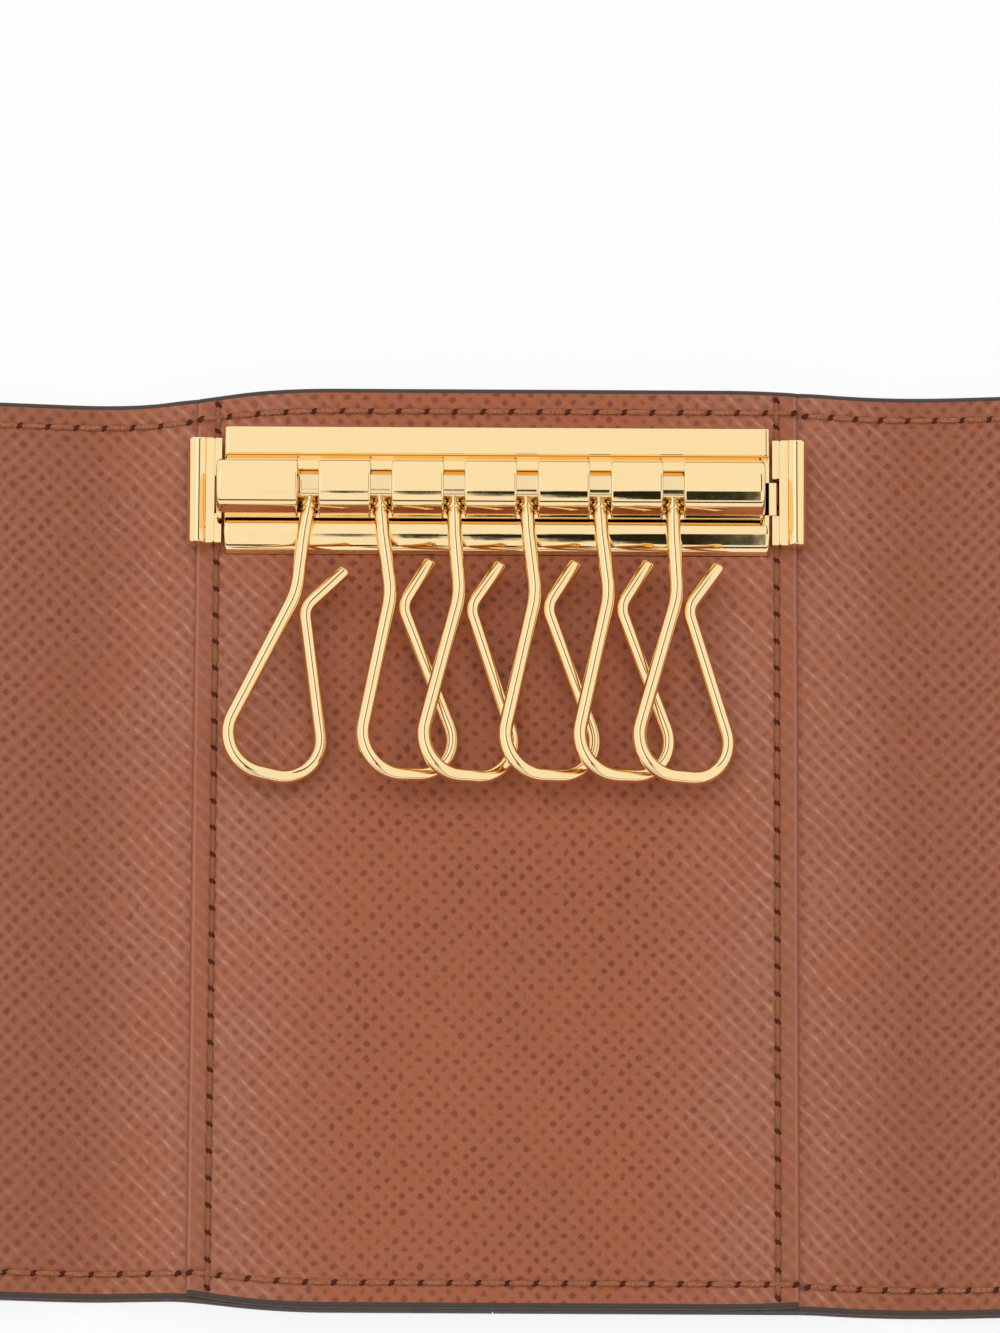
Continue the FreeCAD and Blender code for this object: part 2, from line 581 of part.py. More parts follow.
DOWN_THE_STEM = Rotation(Vector(1, 0, 0), 90)
AXIS_TURN = Rotation(Vector(0, 1, 0), 90)
stems = []
wire_edges = [tuple((side, -reach) for side, reach in edge) for edge in hook_path()]
for k in range(HOOK_COUNT):
    lean = math.radians(HOOK_LEAN_DEGREES[k])
    low_side = S.loop_right * math.sin(math.radians(hook_spins[k])) + wire_radius + S.rest_gap
    pitch = math.degrees(math.asin((S.axis_height - low_side) / (S.loop_reach - S.loop_corner)))
    shift = -(S.tube_radius - S.tube_wall / 2) * math.tan(lean)
    centre = Vector(hook_x(k) + shift, axis_y, axis_z)
    lie = Rotation(Vector(1, 0, 0), pitch) * Rotation(Vector(0, 0, 1), HOOK_LEAN_DEGREES[k])
    spot = Placement(centre, lie * Rotation(Vector(0, 1, 0), hook_spins[k]))
    number = k + 1
    stems.append((centre, lie.multVec(Vector(0, -1, 0))))

    def on_stem(reach):
        """Placement on the stem's axis, with its Z down the stem."""
        return spot.multiply(Placement(Vector(0, -reach, 0), DOWN_THE_STEM))

    path = sketch(f"hook_{number}_path", wire_edges, spot)
    ring = doc.addObject("Part::Circle", f"hook_{number}_ring")
    bind(ring, "Radius", "wire_radius")
    ring.Placement = on_stem(S.head_seat - S.head_thickness / 2)
    wire = doc.addObject("Part::Sweep", f"hook_{number}_wire")
    wire.Sections = [ring]
    wire.Spine = (path, [f"Edge{i + 1}" for i in range(len(wire_edges))])
    wire.Solid = True
    head = cylinder(f"hook_{number}_head", "head_radius", "head_thickness", on_stem(S.head_seat - S.head_thickness))
    collar_start = drum_radius + S.collar_gap
    bow = S.collar_round * (1 - math.cos(math.pi / 4))
    r, c, far = collar_radius, S.collar_round, S.collar_length
    collar_edges = [((0, 0), (r - c, 0)), ((r - c, 0), (r - bow, bow), (r, c)), ((r, c), (r, far - c)),
                    ((r, far - c), (r - bow, far - bow), (r - c, far)), ((r - c, far), (0, far)), ((0, far), (0, 0))]
    collar = spun(f"hook_{number}_collar", collar_edges, on_stem(collar_start))
    keep(f"hook_{number}", fuse(f"hook_{number}", wire, head, collar))
    barrel = cylinder(f"drum_{number}_barrel", "drum_radius", "drum_length",
                      Placement(centre - Vector((slot_pitch - S.drum_gap) / 2, 0, 0), AXIS_TURN))
    stem_hole = cylinder(f"drum_{number}_stem_hole", "wire_radius + stem_clearance", "drum_radius + overrun",
                         on_stem(0))
    head_hole = cylinder(f"drum_{number}_head_hole", "head_radius + stem_clearance",
                         "head_seat + stem_clearance + drum_radius + overrun", on_stem(-drum_radius - S.overrun))
    keep(f"swivel_drum_{number}", cut(f"swivel_drum_{number}", barrel, stem_hole, head_hole))

# End brackets and their rivets
rivets, rivet_holes = [], []
for side, sign in (("left", -1), ("right", 1)):
    bead_x = bracket_end - S.bracket_bead
    bow = S.bracket_bead * math.cos(math.pi / 4)
    bead_z = S.bracket_height - S.bracket_bead
    step_x = bead_x - math.sqrt(S.bracket_bead ** 2 - (S.bracket_flange - bead_z) ** 2)
    bracket_edges = [
        ((bracket_start, 0), (bracket_end, 0)),
        ((bracket_end, 0), (bracket_end, bead_z)),
        ((bracket_end, bead_z), (bead_x + bow, bead_z + bow), (bead_x, S.bracket_height)),
        ((bead_x, S.bracket_height), (bead_x - bow, bead_z + bow), (step_x, S.bracket_flange)),
        ((step_x, S.bracket_flange), (bracket_start, S.bracket_flange)),
        ((bracket_start, S.bracket_flange), (bracket_start, 0)),
    ]
    mirrored = [tuple((sign * x, z) for x, z in edge) for edge in bracket_edges]
    section = sketch(f"{side}_bracket_section", mirrored,
                     Placement(Vector(0, axis_y + S.bracket_above, lining_top), ACROSS))
    blank = extrude(f"{side}_bracket_bar", section, "bracket_above + bracket_below")
    blank = round_edges(f"{side}_bracket_blank", blank, S.bracket_corner,
                        lambda edge: edge.BoundBox.YLength < S.bracket_corner and edge.BoundBox.ZMin > lining_top
                        and edge.BoundBox.XLength > S.bracket_corner)
    notch_x = "bracket_start - overrun" if sign > 0 else "-bracket_start - notch_depth"
    notch = box(f"{side}_bracket_notch", ("notch_depth + overrun", "notch_height", "bracket_height + overrun"),
                (notch_x, "axis_y - notch_height / 2", "lining_top"))
    holes = []
    for row, place in ((1, "upper"), (-1, "lower")):
        foot = Vector(sign * rivet_x, axis_y + row * S.rivet_spread, rivet_base)
        name = f"{side}_{place}_rivet"
        shank_length = "panel_top + overlay_thickness + rivet_depth - rivet_base"
        shank = cylinder(f"{name}_shank", "rivet_radius", shank_length, Placement(foot, Rotation()))
        flange = cylinder(f"{name}_flange", "rivet_flange", "rivet_flange_thickness", Placement(foot, Rotation()))
        rivets.append(fuse(name, shank, flange))
        holes.append(cylinder(f"{name}_hole", "rivet_radius + seat_clearance", f"{shank_length} + seat_clearance",
                              Placement(foot, Rotation())))
        holes.append(cylinder(f"{name}_pocket", "rivet_flange + seat_clearance", "rivet_flange_thickness",
                              Placement(foot, Rotation())))
    rivet_holes += holes
    keep(f"{side}_bracket", cut(f"{side}_bracket", blank, notch, *holes))
    keep(f"{side}_lining_margin", cut(f"{side}_lining_margin", margins[side], *holes))
keep("bracket_rivets", group("bracket_rivets", rivets))
keep("centre_lining", cut("centre_lining", centre_lining, *rivet_holes))
keep("centre_cover", cut("centre_cover", centre_cover, *rivet_holes))


# Snap fasteners on the flaps
def on_flap(sign, frame, along, y):
    """Placement on a flap's lining, with its Z out of the lining."""
    x = frame.outer[0] + along * math.cos(frame.rise)
    z = frame.outer[1] + along * math.sin(frame.rise)
    return Placement(Vector(sign * x, y, z), Rotation(Vector(0, 1, 0), -sign * math.degrees(frame.rise)))


def dome(name, radius, rim, crown, placement):
    """A shallow cap: a rim with a crown above it."""
    rise = crown - rim
    ball = (radius ** 2 + rise ** 2) / (2 * rise)
    half_angle = math.asin(radius / ball) / 2
    shoulder = (ball * math.sin(half_angle), crown - ball * (1 - math.cos(half_angle)))
    edges = [((0, 0), (radius, 0)), ((radius, 0), (radius, rim)), ((radius, rim), shoulder, (0, crown)),
             ((0, crown), (0, 0))]
    return spun(name, edges, placement)


caps, sockets, studs, eyelets = [], [], [], []
post_holes = {"left": [], "right": []}
TURN_OVER = Rotation(Vector(1, 0, 0), 180)
for row, place in ((1, "upper"), (-1, "lower")):
    y = row * S.snap_spread
    seat = on_flap(1, right, socket_along, y)
    under = seat.multiply(Placement(Vector(0, 0, -leather), Rotation()))
    crown = dome(f"{place}_cap_crown", S.cap_radius, S.cap_rim, S.cap_height, under.multiply(Placement(Vector(), TURN_OVER)))
    post = cylinder(f"{place}_cap_post", "post_radius", "leather + socket_floor", under)
    caps.append(fuse(f"{place}_cap", crown, post))
    ring = cylinder(f"{place}_socket_ring", "socket_radius", "socket_height", seat)
    mouth = cylinder(f"{place}_socket_mouth", "socket_bore", "socket_height",
                     seat.multiply(Placement(Vector(0, 0, S.socket_floor), Rotation())))
    seat_hole = cylinder(f"{place}_socket_seat", "post_radius + seat_clearance", "socket_floor", seat)
    sockets.append(cut(f"{place}_socket", ring, mouth, seat_hole))
    post_holes["right"].append(cylinder(f"{place}_cap_hole", "post_radius + seat_clearance", "leather", under))
    seat = on_flap(-1, left, stud_along, y)
    under = seat.multiply(Placement(Vector(0, 0, -leather), TURN_OVER))
    flange = cylinder(f"{place}_stud_flange", "stud_radius", "stud_flange", under)
    nipple = cylinder(f"{place}_stud_nipple", "nipple_radius", "nipple_height", under)
    bore = cylinder(f"{place}_stud_bore", "post_radius + seat_clearance", "post_depth + seat_clearance", under)
    studs.append(cut(f"{place}_stud", fuse(f"{place}_stud_blank", flange, nipple), bore))
    face = cylinder(f"{place}_eyelet_face", "eyelet_radius", "eyelet_height", seat)
    stalk = cylinder(f"{place}_eyelet_post", "post_radius", "leather + post_depth",
                     seat.multiply(Placement(Vector(), TURN_OVER)))
    eyelets.append(fuse(f"{place}_eyelet", face, stalk))
    post_holes["left"].append(cylinder(f"{place}_eyelet_hole", "post_radius + seat_clearance", "leather",
                                       seat.multiply(Placement(Vector(0, 0, -leather), Rotation()))))
for name, pieces in (("snap_caps", caps), ("snap_sockets", sockets), ("snap_studs", studs), ("snap_eyelets", eyelets)):
    keep(name, group(name, pieces))
for side, layers in flap_layers.items():
    for layer, blank in layers.items():
        keep(f"{side}_flap_{layer}", cut(f"{side}_flap_{layer}", blank, *post_holes[side]))

doc.recompute()
failed = [thing.Name for thing in doc.Objects if {"Invalid", "Error"} & set(thing.State)]
if failed:
    raise RuntimeError(f"failed features: {failed}")
for name, thing in nodes.items():
    if thing.Shape.isNull() or not thing.Shape.isValid() or not thing.Shape.Solids:
        raise RuntimeError(f"bad shape: {name}")
os.makedirs("parts", exist_ok=True)
for name, thing in nodes.items():
    thing.Label = name
    thing.Shape.exportStep(f"parts/{name}.step")
for side, frame in (("left", left), ("right", right)):
    print(side, "inner crease", frame.inner, "outer crease", frame.outer,
          "fold angles", math.degrees(frame.spine_turn), math.degrees(frame.flap_turn))
print("bar axis", axis_y, axis_z)
for number, (centre, direction) in enumerate(stems, 1):
    print("hook", number, "at", tuple(centre), "along", tuple(direction))
print("half width", half_open, "socket", socket_along, "stud", stud_along)
print(len(nodes), "pieces")
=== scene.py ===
"""Looks of an open trifold key case: tan lining, outer leather, thread, key bar, hooks and snaps.

Every piece is a stack of closed rings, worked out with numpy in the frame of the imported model, in metres.
"""
import json
import math
from types import SimpleNamespace

import bpy
import numpy as np
from bpy.props import FloatProperty, FloatVectorProperty, PointerProperty
from bpy.types import Operator, Panel, PropertyGroup
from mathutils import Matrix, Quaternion, Vector


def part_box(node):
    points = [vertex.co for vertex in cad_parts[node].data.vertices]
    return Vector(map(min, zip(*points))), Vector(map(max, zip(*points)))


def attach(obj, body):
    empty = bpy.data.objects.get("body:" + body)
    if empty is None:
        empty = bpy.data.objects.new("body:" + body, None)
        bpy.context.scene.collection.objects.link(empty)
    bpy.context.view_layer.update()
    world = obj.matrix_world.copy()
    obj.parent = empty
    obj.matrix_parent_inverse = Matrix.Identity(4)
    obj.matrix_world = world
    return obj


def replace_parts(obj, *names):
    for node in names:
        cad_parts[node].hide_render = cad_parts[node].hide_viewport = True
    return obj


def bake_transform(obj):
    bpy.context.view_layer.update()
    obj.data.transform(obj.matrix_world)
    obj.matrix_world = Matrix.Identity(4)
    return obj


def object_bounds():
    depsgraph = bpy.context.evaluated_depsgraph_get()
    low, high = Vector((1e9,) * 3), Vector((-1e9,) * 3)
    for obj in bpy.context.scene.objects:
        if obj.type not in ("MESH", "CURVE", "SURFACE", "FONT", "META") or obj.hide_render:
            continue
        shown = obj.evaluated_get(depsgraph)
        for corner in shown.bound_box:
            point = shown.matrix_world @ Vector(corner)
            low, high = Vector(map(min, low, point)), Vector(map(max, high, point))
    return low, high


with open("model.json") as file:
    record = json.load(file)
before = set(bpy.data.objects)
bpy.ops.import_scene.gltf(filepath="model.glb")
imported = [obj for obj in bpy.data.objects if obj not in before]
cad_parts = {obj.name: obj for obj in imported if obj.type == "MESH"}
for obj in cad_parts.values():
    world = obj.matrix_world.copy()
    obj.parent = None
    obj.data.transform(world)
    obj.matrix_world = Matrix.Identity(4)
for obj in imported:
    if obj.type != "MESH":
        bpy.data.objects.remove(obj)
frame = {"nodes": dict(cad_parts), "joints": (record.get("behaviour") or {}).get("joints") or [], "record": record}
CAD_BOX = [list(corner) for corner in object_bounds()]

bl_info = {
    "name": "Key case",
    "version": (1, 0, 0),
    "blender": (4, 5, 0),
    "location": "3D View > Sidebar > Key case",
    "description": "Builds the leather, thread and hardware of an open key case round its frame",
    "category": "Object",
}

MM = 0.001
SIDES = (("left", -1), ("right", 1))
UPPER_AND_LOWER = (1, -1)
HOOKS = range(1, 7)
JOINTS = {joint["name"]: joint for joint in frame["joints"]}
RATIOS = {pair["joint"]: pair["ratio"] for pair in frame["record"]["behaviour"]["couplings"]}


def length(label, description, millimetres):
    """A length property with its default given in millimetres."""
    return FloatProperty(name=label, description=description, default=millimetres * MM, unit="LENGTH",
                         precision=5)


def angle(label, description, degrees):
    """An angle property with its default given in degrees."""
    return FloatProperty(name=label, description=description, default=math.radians(degrees), unit="ROTATION")


def colour(label, description, red, green, blue):
    """A colour property in linear light."""
    return FloatVectorProperty(name=label, description=description, default=(red, green, blue, 1.0), size=4,
                               subtype="COLOR", min=0.0, max=1.0)


def share(label, description, value):
    """A plain number property."""
    return FloatProperty(name=label, description=description, default=value)


class KeyCaseLeather(PropertyGroup):
    """Sizes and colours of the leather and its thread."""

    trim_start: length("Trim start", "Where the top edge starts to fall, left of the middle", 17.0)
    trim_end: length("Trim end", "Where the top edge is level again, left of the middle", 39.0)
    corner: length("Corner", "Radius of the outer corners of the flaps", 6.0)
    edge_round: length("Edge rounding", "Rounded edge of each layer", 0.34)
    edge_wrap: length("Paint wrap", "How far the edge paint reaches onto the face", 0.2)
    skive: length("Skive", "Trim of the centre lining's edge at its corners", 0.27)
    crease_soft: length("Crease softness", "Half the stretch over which the leather bends at a crease", 1.6)
    seam_from_edge: length("Seam from edge", "Stitch row from the painted edge", 2.6)
    seam_from_side: length("Seam from side", "Stitch row from the side of the centre lining", 2.1)
    stitch_pitch: length("Stitch pitch", "From needle hole to needle hole", 2.95)
    thread_width: length("Thread width", "Width of a stitch", 0.6)
    hole_width: length("Hole width", "Length of a needle hole, which lies aslant", 0.92)
    hole_slant: angle("Hole slant", "Turn of a needle hole against its row", 32.0)
    grain_pitch: length("Grain pitch", "From ridge to ridge of the crossed grain", 1.27)
    tan: colour("Tan", "Lining leather", 0.395, 0.115, 0.048)
    # Painted sheen: colour of the lining where light glances off it toward the creases
    sheen_colour: colour("Haze", "Lining where it is rubbed dull", 0.400, 0.190, 0.130)
    # The pit colour also paints shade into the groove under each stitch row
    pit: colour("Pit", "Hollows of the crossed grain", 0.180, 0.043, 0.018)
    # Painted highlight: colour of the grain's ridges where light catches them
    ridge_highlight: colour("Crest", "Rubbed ridges of the crossed grain", 0.560, 0.262, 0.178)
    paint: colour("Edge paint", "Painted edges", 0.070, 0.046, 0.038)
    brown: colour("Brown", "Outer leather", 0.070, 0.034, 0.020)
    thread: colour("Thread", "Stitching", 0.520, 0.175, 0.075)
    hole: colour("Needle hole", "Needle holes", 0.055, 0.014, 0.008)


class KeyCaseHardware(PropertyGroup):
    """Sizes and colours of the key bar, the hooks and the snaps."""

    tube_wall: length("Tube wall", "Wall of the slotted tube", 0.5)
    tube_end_wall: length("Tube end wall", "Closed ends of the tube", 1.0)
    tube_end_round: length("Tube end rounding", "Rounded ends of the tube", 0.4)
    lip_length: length("Lip length", "Stretch of the tube that overhangs the left bracket", 0.8)
    lip_height: length("Lip height", "Underside of that overhang above the centre lining", 2.5)
    slot_width: length("Slot width", "Slots of the tube", 2.2)
    slot_depth: length("Slot depth", "Bottom of the slots below the axis", 1.25)
    slot_rim: length("Slot rim", "Broken edges of the slots", 0.2)
    base_thickness: length("Base thickness", "Plate under the tube", 0.8)
    upper_band_start: length("Upper band start", "Inner edge of the upper band from the axis", 4.3)
    lower_band_start: length("Lower band start", "Inner edge of the lower band from the axis", 3.2)
    lower_band_end: length("Lower band end", "Front edge of the lower band from the axis", 6.15)
    upper_band_round: length("Upper band rounding", "Rounded edges of the upper band", 0.4)
    lower_band_crown: length("Lower band crown", "Radius of the lower band's crown", 3.6)
    lower_band_fall: angle("Lower band fall", "Fall of that crown at the tube", 8.0)
    lower_band_round: length("Lower band rounding", "Rounded front edge of the lower band", 0.4)
    band_end_round: length("Band end rounding", "Rounded ends of both bands", 0.3)
    bed_height: length("Bed height", "Bed of the drums above the centre lining", 1.75)
    bed_width: length("Bed width", "Bed of the drums", 4.4)
    tongue_width: length("Tongue width", "Tongues of the base plate in the brackets", 3.6)
    bracket_bead: length("Bracket bead", "Radius of the rolled bead of a bracket", 1.1)
    bracket_flange: length("Bracket flange", "Height of a bracket's flange", 1.5)
    bracket_corner: length("Bracket corner", "Rounded ends of a bracket", 0.3)
    notch_width: length("Notch width", "Notch in a bracket's flange", 4.1)
    notch_depth: length("Notch depth", "Depth of that notch", 0.75)
    bracket_flare: length("Bracket flare", "Roll of the bead past its flange", 0.45)
    bracket_tail: length("Bracket tail", "Front end of a bracket past its flange", 0.4)
    drum_radius: length("Drum radius", "Swivel drum", 2.35)
    drum_length: length("Drum length", "Length of a swivel drum", 6.38)
    drum_round: length("Drum rounding", "Rounded ends of a drum", 0.15)
    waist_radius: length("Waist radius", "Middle of a drum, which shows in its slot", 1.4)
    waist_length: length("Waist length", "Length of that waist", 2.6)
    wire_radius: length("Wire radius", "Hook wire", 0.75)
    collar_radius: length("Collar radius", "Collar of a hook", 0.88)
    collar_start: length("Collar start", "Collar from the axis of the bar", 1.55)
    collar_length: length("Collar length", "Length of the collar", 0.8)
    collar_round: length("Collar rounding", "Rounded rims of the collar", 0.3)
    head_radius: length("Head radius", "Head of a hook in its drum", 1.2)
    head_seat: length("Head seat", "Shoulder under the head from the axis", 0.55)
    head_thickness: length("Head thickness", "Thickness of the head", 0.85)
    free_spin: angle("Free spin", "Spin of the first hook, which lies free", 14.0)
    shingled_spin: angle("Shingled spin", "Spin of the hooks that lie over each other", 21.0)
    stem_straight: length("Stem straight", "Straight stem from the axis", 5.0)
    stem_bend: length("Stem bend", "Radius of the slight bend in the stem", 14.0)
    neck_side: length("Neck side", "Neck of a hook beside the stem's axis", 0.4)
    neck_reach: length("Neck reach", "Neck of a hook from the axis", 11.6)
    neck_bend: length("Neck bend", "Radius of the bend at the neck", 9.0)
    loop_reach: length("Loop reach", "Bottom of the loop from the axis", 31.3)
    loop_left: length("Loop left", "Left side of the loop from the stem's axis", 4.0)
    loop_right: length("Loop right", "Right side of the loop from the stem's axis", 6.0)
    loop_corner: length("Loop corner", "Radius of the loop's corners", 4.1)
    pinch_side: length("Pinch side", "Bend of the free end beside the stem's axis", 1.55)
    pinch_reach: length("Pinch reach", "Bend of the free end from the axis", 13.0)
    pinch_bend: length("Pinch bend", "Radius of that bend", 2.2)
    tip_side: length("Tip side", "Tip of the free end beside the stem's axis", 5.2)
    tip_reach: length("Tip reach", "Tip of the free end from the axis", 8.0)
    snap_spread: length("Snap spread", "Snaps above and below the middle of the case", 25.0)
    socket_along: length("Socket place", "Snap sockets from the crease of the right flap", 39.0)
    stud_along: length("Stud place", "Snap studs from the crease of the left flap", 27.0)
    gold: colour("Gold", "Polished plating", 0.975, 0.740, 0.395)
    gold_worn: colour("Worn gold", "Plating where it is rubbed", 0.950, 0.690, 0.350)
    drum_metal: colour("Drum", "Swivel drums", 0.900, 0.690, 0.390)
    steel: colour("Steel", "Rivets", 0.560, 0.550, 0.530)
    board: colour("Board", "Stiffener board, painted with the edges", 0.075, 0.054, 0.045)


class KeyCaseStage(PropertyGroup):
    """Camera, light and floor."""

    elevation: angle("Elevation", "Camera above the horizon", 73.0)
    roll: angle("Roll", "Turn of the camera about its view", 0.3)
    distance: length("Distance", "Camera from its target", 1200.0)
    view_height: length("View height", "Height of the picture at the target", 140.0)
    target_x: length("Target x", "Middle of the picture", 0.42)
    target_y: length("Target y", "Middle of the picture", 19.22)
    target_z: length("Target z", "Middle of the picture", 4.5)
    ambient: share("Ambient", "Light of the surroundings on the case", 0.62)
    floor: colour("Floor", "Plain floor", 0.95, 0.95, 0.95)
    floor_glow: share("Floor glow", "Share of plain white in what is seen of the floor", 0.88)


def settings(name):
    """One group of settings of the scene."""
    return getattr(bpy.context.scene, f"key_case_{name}")


# Surfaces: rings of points that a loft joins
def ring_faces(copies, rows, columns):
    """Quads between neighbouring rings, with both end rings closed by strips across them."""
    index = np.arange(rows * columns).reshape(rows, columns)
    ahead = np.roll(index, -1, axis=1)
    walls = np.stack([index[:-1], ahead[:-1], ahead[1:], index[1:]], axis=-1).reshape(-1, 4)
    near = np.arange(columns // 2 - 1)
    far = columns - 1 - near
    strip = np.stack([near, far, far - 1, near + 1], axis=-1)
    faces = np.concatenate([walls, index[0][strip], index[-1][strip[:, ::-1]]])
    offsets = rows * columns * np.arange(copies)
    return (faces[None] + offsets[:, None, None]).reshape(-1, 4)


def enclosed_volume(points, faces):
    """Sum of the tetrahedra from the first point to both halves of every quad."""
    a, b, c, d = (points[faces[:, k]] - points[0] for k in range(4))
    return np.sum(a * np.cross(b, c)) + np.sum(a * np.cross(c, d))


def loft(points, slot=0, **values):
    """A closed surface through rings; points is (rows, columns, 3), or (copies, rows, columns, 3)."""
    points = points if points.ndim == 4 else points[None]
    copies, rows, columns, _ = points.shape
    faces = ring_faces(copies, rows, columns)
    flat_points = points.reshape(-1, 3)
    if enclosed_volume(flat_points, faces) < 0:
        faces = faces[:, ::-1]
    return SimpleNamespace(points=flat_points, faces=faces, slot=slot, values=values)


def piece(name, surfaces, *materials, sharp=40.0):
    """One mesh object from lofts, smooth except at edges sharper than the angle in degrees."""
    starts = np.cumsum([0] + [len(s.points) for s in surfaces[:-1]])
    points = np.concatenate([s.points for s in surfaces])
    faces = np.concatenate([s.faces + start for s, start in zip(surfaces, starts)])
    mesh = bpy.data.meshes.new(name)
    mesh.from_pydata(points.tolist(), [], faces.tolist())
    slots = np.concatenate([np.full(len(s.faces), s.slot) for s in surfaces])
    for layer_finish in materials:
        mesh.materials.append(layer_finish)
    mesh.polygons.foreach_set("material_index", slots.astype(np.int32))
    for key in surfaces[0].values:
        value = np.concatenate([s.values[key].reshape(len(s.points), -1) for s in surfaces])
        kind, field = ("FLOAT", "value") if value.shape[1] == 1 else ("FLOAT_VECTOR", "vector")
        mesh.attributes.new(key, kind, "POINT").data.foreach_set(field, value.astype(np.float32).ravel())
    mesh.shade_smooth()
    mesh.set_sharp_from_angle(angle=math.radians(sharp))
    made = bpy.data.objects.new(name, mesh)
    bpy.context.scene.collection.objects.link(made)
    return made


def quarter(radius, steps=5):
    """Quarter round as (run, inset) pairs: the inset shrinks from the radius to zero over the run."""
    turn = np.linspace(0, math.pi / 2, steps)
    return radius * (1 - np.cos(turn)), radius * (1 - np.sin(turn))


def rimmed(start, end, rim_start, rim_end):
    """Places from start to end with the inset of a quarter round at each end that has a rim.

    One more place just past each rim keeps the long stretch between them flat.
    """
    past_rim = 1.3
    places, insets = [], []
    for at, sign, rim in ((start, 1, rim_start), (end, -1, rim_end)):
        run, inset = quarter(rim) if rim else (np.zeros(1), np.zeros(1))
        if rim:
            run, inset = np.append(run, past_rim * rim), np.append(inset, 0.0)
        order = slice(None, None, sign)
        places.append((at + sign * run)[order])
        insets.append(inset[order])
    return np.concatenate(places), np.concatenate(insets)


def lathe(origin, axis, along, radius, steps=40):
    """Rings of (distance along an axis, radius) turned about that axis."""
    axis = np.array(axis) / np.linalg.norm(axis)
    helper = np.eye(3)[np.argmin(np.abs(axis))]
    side = np.cross(axis, helper)
    side = side / np.linalg.norm(side)
    other = np.cross(axis, side)
    turn = np.linspace(0, 2 * math.pi, steps, endpoint=False)
    spoke = np.cos(turn)[:, None] * side + np.sin(turn)[:, None] * other
    return np.array(origin) + np.array(along)[:, None, None] * axis + np.array(radius)[:, None, None] * spoke


def rod(start, end, radius, rounding):
    """Profile of a round bar with rounded ends, as (along, radius)."""
    along, inset = rimmed(start, end, rounding, rounding)
    return along, radius - inset


def block(low, high, rim=0.0):
    """Rings of a box along X with rounded ends; every ring is a rectangle in Y and Z."""
    along, inset = rimmed(low[0], high[0], rim, rim)
    y = np.stack([low[1] + inset, high[1] - inset, high[1] - inset, low[1] + inset], axis=-1)
    z = np.stack([low[2] + inset, low[2] + inset, high[2] - inset, high[2] - inset], axis=-1)
    return np.stack([np.broadcast_to(along[:, None], y.shape), y, z], axis=-1)


# Shader maths
class Shade:
    """A shader value; arithmetic on it adds Math nodes to its tree."""

    def __init__(self, tree, socket=None):
        self.tree = tree
        self.socket = socket

    def node(self, kind, choices=None, inputs=None, output=0):
        """Any node: its own settings are set first, then the values or links of its sockets."""
        made = self.tree.nodes.new(kind)
        for name, value in (choices or {}).items():
            setattr(made, name, value)
        for key, value in (inputs or {}).items():
            if isinstance(value, Shade):
                self.tree.links.new(value.socket, made.inputs[key])
            else:
                made.inputs[key].default_value = value
        return Shade(self.tree, made.outputs[output])

    def math(self, operation, first, second=0.0):
        """A Math node of two values."""
        return self.node("ShaderNodeMath", {"operation": operation}, {0: first, 1: second})

    def __add__(self, other):
        return self.math("ADD", self, other)

    def __sub__(self, other):
        return self.math("SUBTRACT", self, other)

    def __rsub__(self, other):
        return self.math("SUBTRACT", other, self)

    def __mul__(self, other):
        return self.math("MULTIPLY", self, other)

    def __pow__(self, other):
        return self.math("POWER", self, other)

    __radd__ = __add__
    __rmul__ = __mul__

    def cosine(self):
        """Cosine of an angle in radians."""
        return self.math("COSINE", self)

    def step(self, low, high):
        """Smooth rise from 0 at low to 1 at high."""
        return self.node("ShaderNodeMapRange", {"interpolation_type": "SMOOTHSTEP"},
                         {"Value": self, "From Min": low, "From Max": high})

    def band(self, rise_start, rise_end, fall_start, fall_end):
        """Smooth rise from 0 to 1, and a smooth fall back to 0 further on."""
        return self.step(rise_start, rise_end) * (1 - self.step(fall_start, fall_end))

    def mix(self, first, second):
        """Colour between two colours, with this value as the share of the second."""
        return self.node("ShaderNodeMix", {"data_type": "RGBA"}, {0: self, 6: first, 7: second}, 2)

    def vector(self, operation, first, second):
        """A Vector Math node of two vectors."""
        return self.node("ShaderNodeVectorMath", {"operation": operation}, {0: first, 1: second})

    def noise(self, place, scale, detail=2.0, kind="Fac"):
        """Noise at a place."""
        inputs = {"Vector": place, "Scale": scale, "Detail": detail}
        return self.node("ShaderNodeTexNoise", None, inputs, kind)

    def bump(self, height, depth, strength=1.0):
        """Normal of a height times a depth in metres."""
        inputs = {"Height": height, "Distance": depth, "Strength": strength}
        return self.node("ShaderNodeBump", None, inputs, "Normal")

    def attribute(self, name, output="Fac"):
        """A value that the mesh of the piece holds."""
        return self.node("ShaderNodeAttribute", {"attribute_name": name}, None, output)

    def parts(self, place):
        """The x, y and z of a vector."""
        made = self.node("ShaderNodeSeparateXYZ", None, {0: place})
        sockets = made.socket.node.outputs
        return [Shade(self.tree, socket) for socket in sockets]


def material(name, build, constants):
    """A material whose build function links what varies; the constants are set on the shader itself."""
    found = bpy.data.materials.get(f"{name}_finish")
    if found:
        return found
    made = bpy.data.materials.new(f"{name}_finish")
    made.use_nodes = True
    tree = made.node_tree
    shader = next(node for node in tree.nodes if node.type == "BSDF_PRINCIPLED")
    for key, value in constants.items():
        shader.inputs[key].default_value = value
    for key, value in build(Shade(tree)).items():
        tree.links.new(value.socket, shader.inputs[key])
    return made


def flat_place(shade):
    """Place on the leather laid flat, in millimetres."""
    return shade.vector("MULTIPLY", shade.attribute("flat", "Vector"), (1 / MM,) * 3)


def object_place(shade):
    """Place in the frame, in millimetres."""
    place = shade.node("ShaderNodeTexCoord", None, None, "Object")
    return shade.vector("MULTIPLY", place, (1 / MM,) * 3)


def toned(base, factor):
    """A colour made darker or lighter by a factor."""
    return tuple(factor * channel for channel in base[:3]) + (1.0,)
